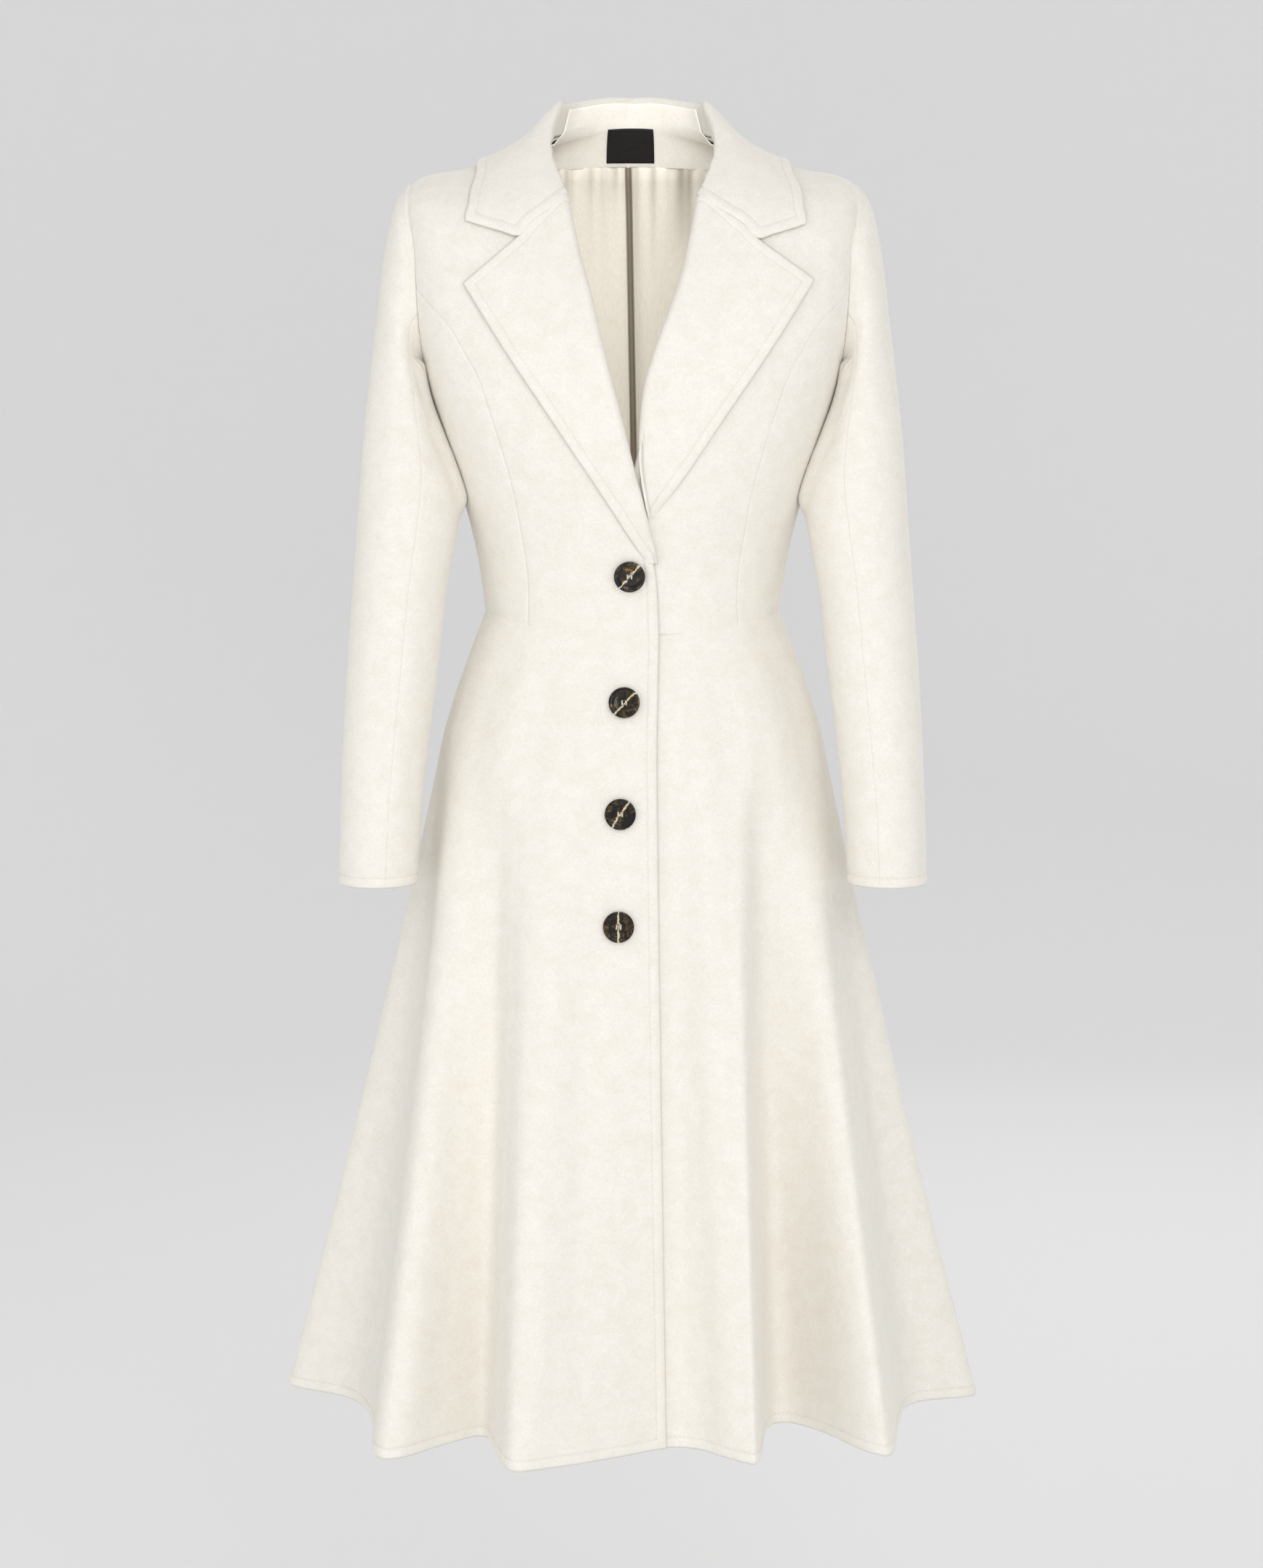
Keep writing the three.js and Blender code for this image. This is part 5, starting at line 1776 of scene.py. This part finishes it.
@dataclass
class SkirtPanels:
    """Flared skirt below the waist seam, with its large flutes and the finer folds between them."""

    finishes: Finishes
    spacing: float = 5.0
    length: float = 700
    underlap: float = 1.6
    creases: tuple[Crease, ...] = (
        Crease(((-2.15, 0.0), (-2.2, 0.3), (-2.35, 0.62), (-2.45, 1.0)), 3.6, 15, 0.35),
        Crease(((-1.3, 0.02), (-1.35, 0.28), (-1.5, 0.6), (-1.6, 0.98)), -2.6, 13, 0.5),
        Crease(((-4.6, 0.02), (-4.7, 0.22), (-4.75, 0.5)), 1.4, 13),
        Crease(((-6.1, 0.0), (-6.3, 0.14), (-6.35, 0.32)), -1.2, 12),
        Crease(((-8.2, 0.03), (-8.3, 0.25), (-8.35, 0.55), (-8.3, 0.95)), 1.6, 15),
        Crease(((1.35, 0.02), (1.45, 0.3), (1.5, 0.66), (1.6, 1.0)), 3.4, 13, 0.35),
        Crease(((0.6, 0.1), (0.52, 0.4), (0.5, 0.75), (0.45, 1.0)), -4.2, 11, 0.4),
        Crease(((3.2, 0.02), (3.5, 0.2), (3.6, 0.46)), 1.3, 12),
        Crease(((5.6, 0.02), (5.9, 0.18), (6.0, 0.42)), 1.5, 13),
        Crease(((7.2, 0.01), (7.5, 0.12), (7.6, 0.3)), -1.3, 12),
        Crease(((9.4, 0.04), (9.7, 0.3), (9.8, 0.8)), 1.4, 14),
        Crease(((-0.75, 0.095), (-1.3, 0.082), (-1.9, 0.088)), -0.8, 7),
        Crease(((-0.7, 0.228), (-1.2, 0.24), (-1.7, 0.235)), -0.8, 7),
        Crease(((-0.45, 0.335), (-0.9, 0.318), (-1.5, 0.322), (-2.0, 0.345)), -0.9, 7),
        Crease(((13.4, 0.01), (13.5, 0.12), (13.4, 0.3)), -1.6, 12),
        Crease(((15.2, 0.02), (15.3, 0.3), (15.2, 0.7)), 1.8, 14),
        Crease(((17.0, 0.01), (17.1, 0.1), (17.0, 0.24)), -1.4, 10),
        Crease(((18.6, 0.02), (18.5, 0.2), (18.6, 0.5)), 1.6, 12),
        Crease(((20.6, 0.01), (20.5, 0.12), (20.7, 0.28)), -1.5, 11),
        Crease(((22.5, 0.02), (22.4, 0.3), (22.5, 0.75)), 1.7, 14),
        Crease(((24.4, 0.01), (24.5, 0.14), (24.4, 0.33)), -1.5, 12),
    )

    def build(self) -> None:
        lines = len(SKIRT.lines)
        side_left = next(i for i, line in enumerate(SKIRT.lines) if line.waist == 90)
        side_right = next(i for i, line in enumerate(SKIRT.lines) if line.waist == 270)
        self.panel("skirt_front_left", -self.underlap, side_left, UNDER.on_skirt, Rim.EDGE, Rim.SEAM, 520)
        self.panel("skirt_back", side_left, side_right, SKIRT.point, Rim.SEAM, Rim.SEAM, 1100)
        self.panel("skirt_front_right", side_right, lines, SKIRT.point, Rim.SEAM, Rim.EDGE, 560)

    def panel(
        self, name: str, start: float, end: float, surface: Surface, left: Rim, right: Rim, width: float
    ) -> None:
        """Makes and declares one skirt panel between two places."""
        s = stations(width, self.spacing, left, right)
        t = stations(self.length, self.spacing, Rim.SEAM, Rim.EDGE)
        place, down = np.meshgrid(mix(start, end, s), t)
        points = surface(place, down)
        points, outs = tucked(points, SKIRT.out(place, down))
        rims = {"bottom": Rim.PRESSED, "top": Rim.EDGE, "left": left, "right": right}
        lift = crease_lift(points, self.creases, lambda line: SKIRT.point(line[:, 0], line[:, 1]))
        sheet = Sheet(f"wool_{name}", points, outs, rims, lift=lift)
        declare_cloth(sheet, name, self.finishes.wool)


class Layer(NamedTuple):
    """Layer inside the back neck: rises, half turn, thickness and depth below the back's face."""

    low: float
    high: float
    half_turn: float
    thickness: float
    depth: float


@dataclass
class Inside:
    """What shows inside the back neck: facing, satin lining and the bare label."""

    finishes: Finishes
    facing: Layer = Layer(0.864, 0.985, 1.15, THIN_WALL, WALL + 2.3)
    lining: Layer = Layer(0.01, 0.868, 0.98, THIN_WALL, WALL + 3.8)
    label: Layer = Layer(0.877, 0.994, 0.0, 0.8, WALL + THIN_WALL + 2.8)
    facing_rows: int = 12
    stand_clear: float = 3.5
    stand_inset: float = 4.7
    stand_lean: float = 7.0
    label_x: float = -2
    label_width: float = 42
    label_heights: tuple[float, float] = (-15.2, 13.8)
    pleat_rise: float = 5.0
    pleat_fold: float = 5.0
    pleat_half: float = 2.6
    pleat_width: float = 26
    pleat_low_x: float = 3.0
    pleat_high_x: float = -4.0
    side_fold_x: float = 38
    under_facing: float = 2.9
    gather_count: int = 34
    gather_reach: float = 62
    # Strongest painted shade in the lining's folds.
    darkest_painted_shade: float = 0.95

    def build(self) -> None:
        self.make_facing()
        self.make_lining()
        self.make_label()

    def grid(self, layer: Layer, s: Array, t: Array, width: float | None = None) -> tuple[Array, Array]:
        """Points and outward directions of a layer."""
        share, up = np.meshgrid(s, t)
        rise = mix(layer.low, layer.high, up)
        if width is None:
            turn = math.pi + mix(-layer.half_turn, layer.half_turn, share)
        else:
            reach = (self.label_x + width * (0.5 - share)) / BODICE.at("width", rise)
            turn = math.pi - np.arcsin(reach)
        outs = BODICE.out(turn, rise)
        return BODICE.point(turn, rise) - outs * layer.depth, outs

    def make_facing(self) -> None:
        """Wool facing behind the neck."""
        layer, across = self.facing, np.linspace(0, 1, 73)
        t = stations(50, 3.0, Rim.PRESSED, Rim.PLAIN)
        points, outs = self.grid(layer, across, t)
        turn = math.pi + mix(-layer.half_turn, layer.half_turn, across)
        stand = mix(STAND_SIDE, STAND_BACK, 1 - np.abs(turn - math.pi) / QUARTER)
        neck = BODICE.point(turn, np.ones_like(turn))
        level = unit(BODICE.out(turn, np.ones_like(turn)) * np.array([1.0, 1.0, 0.0]))
        share = np.linspace(0.12, 1, self.facing_rows)[:, None]
        high = share * (stand - self.stand_clear)
        inside = self.stand_inset + self.stand_lean * high / stand
        above = neck - level * inside[..., None] + np.array([0.0, 0.0, 1.0]) * high[..., None]
        points = np.concatenate([points - outs * THIN_WALL, above])
        outs = np.concatenate([-outs, np.repeat(-level[None], self.facing_rows, axis=0)])
        rims = {"bottom": Rim.PRESSED, "top": Rim.PRESSED}
        sheet = Sheet("wool_back_neck_facing", points, outs, rims, THIN_WALL)
        declare_cloth(sheet, "back_neck_facing", self.finishes.wool)

    def make_lining(self) -> None:
        """Satin back lining with a centre pleat and small gathers below the facing, and painted shade in its
        folds.
        """
        layer = self.lining
        across = np.unique(np.concatenate([np.linspace(0, 1, 181), np.linspace(0.46, 0.54, 61)]))
        rows = np.linspace(0, 1, 91)
        points, outs = self.grid(layer, across, rows)
        x, up = points[..., 0], rows[:, None]
        points = points + outs * (self.under_facing * smooth(0.96, 1.0, up))[..., None]
        middle = mix(self.pleat_low_x, self.pleat_high_x, up)
        fold = 1 - smooth(0.4 * self.pleat_half, 1.3 * self.pleat_half, np.abs(x - middle))
        lift = self.pleat_rise * bell(x - middle, self.pleat_width) - self.pleat_fold * fold
        lift = lift - 2.2 * bell(x - self.side_fold_x, 6) * smooth(0.7, 0.85, up)
        # Painted shade: darkest in the pleat's slot, softer beside it and in the fold at the right.
        shade = 0.92 * fold + 0.3 * bell(x - middle - 3, 7)
        shade = shade + 0.4 * bell(x - self.side_fold_x - 6, 9) * smooth(0.72, 0.9, up)
        rng = np.random.default_rng(7)
        for _ in range(self.gather_count):
            place = rng.uniform(-self.gather_reach, self.gather_reach)
            reach = rng.uniform(0.05, 0.2)
            size = rng.uniform(0.4, 1.2)
            width = rng.uniform(1.8, 3.6)
            lift = lift + size * bell(x - place, width) * bell(1 - up, reach)
            # Painted shade beside each gather.
            shade = shade + 0.2 * size * bell(x - place - width, 0.8 * width) * bell(1 - up, reach)
        inner, rims = points - outs * THIN_WALL, {"top": Rim.SEAM}
        shade = np.clip(shade, 0.0, self.darkest_painted_shade)
        sheet = Sheet("satin_lining_back", inner, -outs, rims, THIN_WALL, lift, shade)
        declare_cloth(sheet, "lining_back", self.finishes.satin)

    def make_label(self) -> None:
        """Bare black label on the facing."""
        layer = self.label
        across = self.label_x + self.label_width * np.linspace(0.5, -0.5, 25)
        x, z = np.meshgrid(across, np.linspace(*self.label_heights, 21))
        turn, rise = BODICE.seen(x, z, back=True)
        outs = BODICE.out(turn, rise)
        points = BODICE.point(turn, rise) - outs * layer.depth
        sheet = Sheet("label_tape", points - outs * layer.thickness, -outs, {}, layer.thickness)
        declare_cloth(sheet, "label", self.finishes.label)


class ButtonPlace(NamedTuple):
    """Where a button is sewn, as seen from the front, and the direction of its vein."""

    x: float
    z: float
    on_bodice: bool
    lift: float
    vein_turn: float


@dataclass
class Buttons:
    """Four buttons sewn on with thread through four holes."""

    finishes: Finishes
    radius: float = 13.0
    thick: float = 4.0
    rim: float = 2.4
    dish: float = 1.3
    slope: float = 2.2
    flat: float = 4.0
    sunk: float = 0.25
    rim_round: float = 1.1
    lip_round: float = 0.5
    hole_radius: float = 1.05
    hole_out: float = 2.4
    strand_radius: float = 0.62
    strand_rise: float = 0.75
    strand_bend: float = 1.9
    places: tuple[ButtonPlace, ...] = (
        ButtonPlace(-2.6, -366.3, True, 1.3, 0.75),
        ButtonPlace(-7, -471.7, False, 0.5, 0.8),
        ButtonPlace(-10.3, -563, False, 0.5, 0.6),
        ButtonPlace(-12, -656, False, 0.5, 0.0),
    )

    def build(self) -> None:
        model = self.model()
        thread = self.thread_model()
        for i, place in enumerate(self.places, 1):
            spot = self.spot(place)
            button = self.copy(model, f"button_{i}_shell", spot)
            centre = Vector(spot.translation)
            material = Tortoiseshell().material(centre, place.vein_turn, i)
            declare(button, f"button_{i}", material)
            sewn = self.copy(thread, f"button_{i}_thread", spot)
            sewn.data.materials.append(self.finishes.thread)
            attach(sewn, "root")
            LOG.info("button %d at %.3f %.3f %.3f", i, *centre)
        for source in (model, thread):
            bpy.data.objects.remove(source)

    def spot(self, place: ButtonPlace) -> Matrix:
        """Place and direction of a button, with its back on the cloth."""
        if place.on_bodice:
            turn, rise = BODICE.seen(np.array(place.x), np.array(place.z))
            base, out = BODICE.point(turn, rise), BODICE.out(turn, rise)
        else:
            line, down = SKIRT.seen(place.x, place.z)
            base, out = SKIRT.point(line, down), SKIRT.out(np.array(line), np.array(down))
        facing = Vector(out.tolist())
        turned = Vector((0, 0, 1)).rotation_difference(facing).to_matrix().to_4x4()
        return Matrix.Translation((Vector(base.tolist()) + facing * place.lift) * MM) @ turned

    @staticmethod
    def copy(source: bpy.types.Object, name: str, spot: Matrix) -> bpy.types.Object:
        """Copy with its own mesh, its place put into that mesh."""
        mesh = source.data.copy()
        mesh.name = name
        mesh.transform(spot)
        piece = bpy.data.objects.new(name, mesh)
        bpy.context.scene.collection.objects.link(piece)
        return piece

    def model(self) -> bpy.types.Object:
        """Turned button with a rounded rim, a dished face and four holes."""
        radius, thick = self.radius * MM, self.thick * MM
        bpy.ops.object.select_all(action="DESELECT")
        bpy.ops.mesh.primitive_cylinder_add(
            vertices=64, radius=radius, depth=thick, location=(0, 0, 0.5 * thick)
        )
        button = bpy.context.object
        bpy.ops.object.transform_apply(location=True, rotation=True, scale=True)
        bpy.ops.object.mode_set(mode="EDIT")
        bpy.ops.mesh.select_mode(type="FACE")
        self.select_faces(button, lambda face: face.normal.z > 0.9)
        bpy.ops.mesh.inset(thickness=self.rim * MM)
        bpy.ops.mesh.inset(thickness=self.slope * MM, depth=-self.dish * MM)
        bpy.ops.mesh.inset(thickness=self.flat * MM, depth=-self.sunk * MM)

        def on_rim(a: Vector, b: Vector) -> bool:
            """Whether an edge runs round the outside."""
            return min(a.xy.length, b.xy.length) > 0.98 * radius and abs(a.z - b.z) < 1e-6

        def on_lip(a: Vector, b: Vector) -> bool:
            """Whether an edge runs round the dished face."""
            level = abs(a.xy.length - b.xy.length) < 1e-5
            return level and radius * 0.5 < a.xy.length < radius * 0.9

        self.select_edges(button, on_rim)
        bpy.ops.mesh.bevel(offset=self.rim_round * MM, segments=4, affect="EDGES")
        self.select_edges(button, on_lip)
        bpy.ops.mesh.bevel(offset=self.lip_round * MM, segments=3, affect="EDGES")
        bpy.ops.object.mode_set(mode="OBJECT")
        for i in range(4):
            turn = 0.25 * math.pi + i * QUARTER
            self.cut_hole(button, self.hole_out * math.cos(turn) * MM, self.hole_out * math.sin(turn) * MM)
        bpy.ops.object.select_all(action="DESELECT")
        button.select_set(True)
        bpy.context.view_layer.objects.active = button
        bpy.ops.object.shade_smooth_by_angle(angle=math.radians(35))
        return button

    def cut_hole(self, button: bpy.types.Object, x: float, y: float) -> None:
        """Drills one sewing hole."""
        bpy.ops.object.select_all(action="DESELECT")
        bpy.ops.mesh.primitive_cylinder_add(
            vertices=16, radius=self.hole_radius * MM, depth=0.03, location=(x, y, 0)
        )
        drill = bpy.context.object
        bpy.context.view_layer.objects.active = button
        modifier = button.modifiers.new("hole", "BOOLEAN")
        modifier.operation = "DIFFERENCE"
        modifier.object = drill
        modifier.solver = "EXACT"
        bpy.ops.object.modifier_apply(modifier=modifier.name)
        bpy.data.objects.remove(drill)

    def thread_model(self) -> bpy.types.Object:
        """Two strands from hole to hole, bulging over the dished face."""
        strands = []
        base = (self.thick - self.dish) * MM
        reach = self.hole_out * math.cos(0.25 * math.pi) * MM
        for x in (-reach, reach):
            bpy.ops.object.select_all(action="DESELECT")
            bpy.ops.mesh.primitive_cylinder_add(
                vertices=10,
                radius=self.strand_radius * MM,
                depth=2.6 * reach,
                location=(x, 0, base),
                rotation=(QUARTER, 0, 0),
            )
            strand = bpy.context.object
            bpy.ops.object.transform_apply(location=True, rotation=True, scale=True)
            bpy.ops.object.mode_set(mode="EDIT")
            bpy.ops.mesh.select_all(action="SELECT")
            bpy.ops.mesh.subdivide(number_cuts=6)
            bpy.ops.object.mode_set(mode="OBJECT")
            for vertex in strand.data.vertices:
                share = vertex.co.y / (1.3 * reach)
                vertex.co.z += (self.strand_rise - self.strand_bend * share * share) * MM
            strands.append(strand)
        bpy.ops.object.select_all(action="DESELECT")
        for strand in strands:
            strand.select_set(True)
        bpy.context.view_layer.objects.active = strands[0]
        bpy.ops.object.join()
        bpy.ops.object.shade_smooth()
        return bpy.context.object

    @staticmethod
    def select_faces(piece: bpy.types.Object, wanted: Callable) -> None:
        """Selects the faces that a test picks, in edit mode."""
        bpy.ops.mesh.select_all(action="DESELECT")
        shape = bmesh.from_edit_mesh(piece.data)
        for face in shape.faces:
            face.select_set(bool(wanted(face)))
        bmesh.update_edit_mesh(piece.data)

    @staticmethod
    def select_edges(piece: bpy.types.Object, wanted: Callable) -> None:
        """Selects the edges whose two ends a test picks, in edit mode."""
        bpy.ops.mesh.select_mode(type="EDGE")
        bpy.ops.mesh.select_all(action="DESELECT")
        shape = bmesh.from_edit_mesh(piece.data)
        for edge in shape.edges:
            edge.select_set(bool(wanted(edge.verts[0].co, edge.verts[1].co)))
        bmesh.update_edit_mesh(piece.data)


class Lamp(NamedTuple):
    """Square light: its place, width, power in watts and the point that it looks at."""

    name: str
    at: tuple[float, float, float]
    size: float
    power: float
    target: tuple[float, float, float] = (0.0, 0.0, -0.5)


@dataclass
class Studio:
    """Paper sweep, soft lights and the camera at the photograph's angle."""

    finishes: Finishes
    floor_z: float = -1.5
    floor_radius: float = 3.9
    sweep_radius: float = 1.6
    wall_height: float = 2.4
    sides: int = 96
    camera_at: tuple[float, float, float] = (0.0, -3.2, -0.2)
    look_at: tuple[float, float, float] = (-0.001, 0.0, -0.551)
    lens: float = 85.7
    lamps: tuple[Lamp, ...] = (
        Lamp("key", (0.9, -3.0, 1.1), 1.5, 17.0),
        Lamp("beside_camera", (0.15, -4.3, 0.1), 1.4, 21.0),
        Lamp("fill", (-2.3, -2.6, 0.0), 2.4, 15.0),
        Lamp("low", (0.3, -3.9, -1.0), 1.8, 19.0),
        Lamp("rear", (1.2, 3.0, 1.5), 2.0, 22.0),
        Lamp("inside", (0.1, -4.0, 0.7), 1.0, 62.0, (0.0, 0.0, -0.1)),
    )
    surround: str = "#F4F4F4"
    surround_strength: float = 0.77

    def build(self) -> None:
        """Makes the sweep, the lights and the camera."""
        self.sweep()
        self.lights()
        self.camera()
        bpy.context.scene.view_settings.view_transform = "Standard"

    def sweep(self) -> None:
        """Round floor that curves up into a wall on every side."""
        profile = [(0.001, 0.0), (0.5 * self.floor_radius, 0.0), (self.floor_radius, 0.0)]
        for i in range(1, 17):
            turn = QUARTER * i / 16
            out = self.floor_radius + self.sweep_radius * math.sin(turn)
            profile.append((out, self.sweep_radius * (1 - math.cos(turn))))
        profile.append((self.floor_radius + self.sweep_radius, self.wall_height))
        turns = 2 * math.pi * np.arange(self.sides) / self.sides
        rings = []
        for out, high in profile:
            level = np.full(self.sides, self.floor_z + high)
            rings.append(np.stack([out * np.cos(turns), out * np.sin(turns), level], axis=-1))
        index = np.arange(len(profile) * self.sides).reshape(len(profile), self.sides)
        after = np.roll(index, -1, axis=1)
        faces = np.stack([index[:-1], after[:-1], after[1:], index[1:]], axis=-1).reshape(-1, 4)
        mesh = bpy.data.meshes.new("paper_sweep")
        mesh.from_pydata(np.concatenate(rings).tolist(), [], faces.tolist())
        mesh.polygons.foreach_set("use_smooth", np.ones(len(mesh.polygons), bool))
        mesh.materials.append(self.finishes.paper)
        sweep = bpy.data.objects.new("paper_sweep", mesh)
        bpy.context.scene.collection.objects.link(sweep)

    def lights(self) -> None:
        """Large soft lights and an even surround."""
        for lamp in self.lamps:
            self.light(lamp)
        world = bpy.context.scene.world or bpy.data.worlds.new("studio")
        bpy.context.scene.world = world
        world.use_nodes = True
        background = world.node_tree.nodes.get("Background")
        background.inputs["Color"].default_value = linear(self.surround)
        background.inputs["Strength"].default_value = self.surround_strength

    @staticmethod
    def light(lamp: Lamp) -> None:
        """Makes one light; the key alone is mirrored in gloss, and none is seen."""
        data = bpy.data.lights.new(lamp.name, "AREA")
        data.size = lamp.size
        data.energy = lamp.power
        light = bpy.data.objects.new(lamp.name, data)
        light.location = lamp.at
        aim = Vector(lamp.target) - Vector(lamp.at)
        light.rotation_euler = aim.to_track_quat("-Z", "Y").to_euler()
        light.visible_camera = False
        light.visible_glossy = lamp.name == "key"
        bpy.context.scene.collection.objects.link(light)

    @staticmethod
    def light_inside(pieces: Sequence[str]) -> None:
        """Lets the inside lamp light only what shows inside the neck, with nothing in its way.

        Args:
            pieces: names of the objects that it lights.
        """
        receivers = bpy.data.collections.new("inside_of_neck")
        for name in pieces:
            receivers.objects.link(bpy.data.objects[name])
        linking = bpy.data.objects["inside"].light_linking
        linking.receiver_collection = receivers
        linking.blocker_collection = receivers

    def camera(self) -> None:
        """Camera level with the bodice, tilted down a little, as in the photograph."""
        data = bpy.data.cameras.new("camera")
        data.sensor_fit = "VERTICAL"
        data.sensor_height = 36.0
        data.lens = self.lens
        data.clip_end = 50.0
        camera = bpy.data.objects.new("camera", data)
        camera.location = self.camera_at
        aim = Vector(self.look_at) - Vector(self.camera_at)
        camera.rotation_euler = aim.to_track_quat("-Z", "Y").to_euler()
        bpy.context.scene.collection.objects.link(camera)
        bpy.context.scene.camera = camera


def main() -> None:
    """Builds the coat and its studio."""
    logging.basicConfig(level=logging.INFO, format="%(name)s: %(message)s")
    finishes = Finishes()
    studio = Studio(finishes)
    studio.build()
    BodicePanels(finishes).build()
    SkirtPanels(finishes).build()
    Sleeves(finishes).build()
    Lapels(finishes).build()
    Collar(finishes).build()
    Inside(finishes).build()
    studio.light_inside(("satin_lining_back", "wool_back_neck_facing"))
    Buttons(finishes).build()


if __name__ == "__main__":
    main()
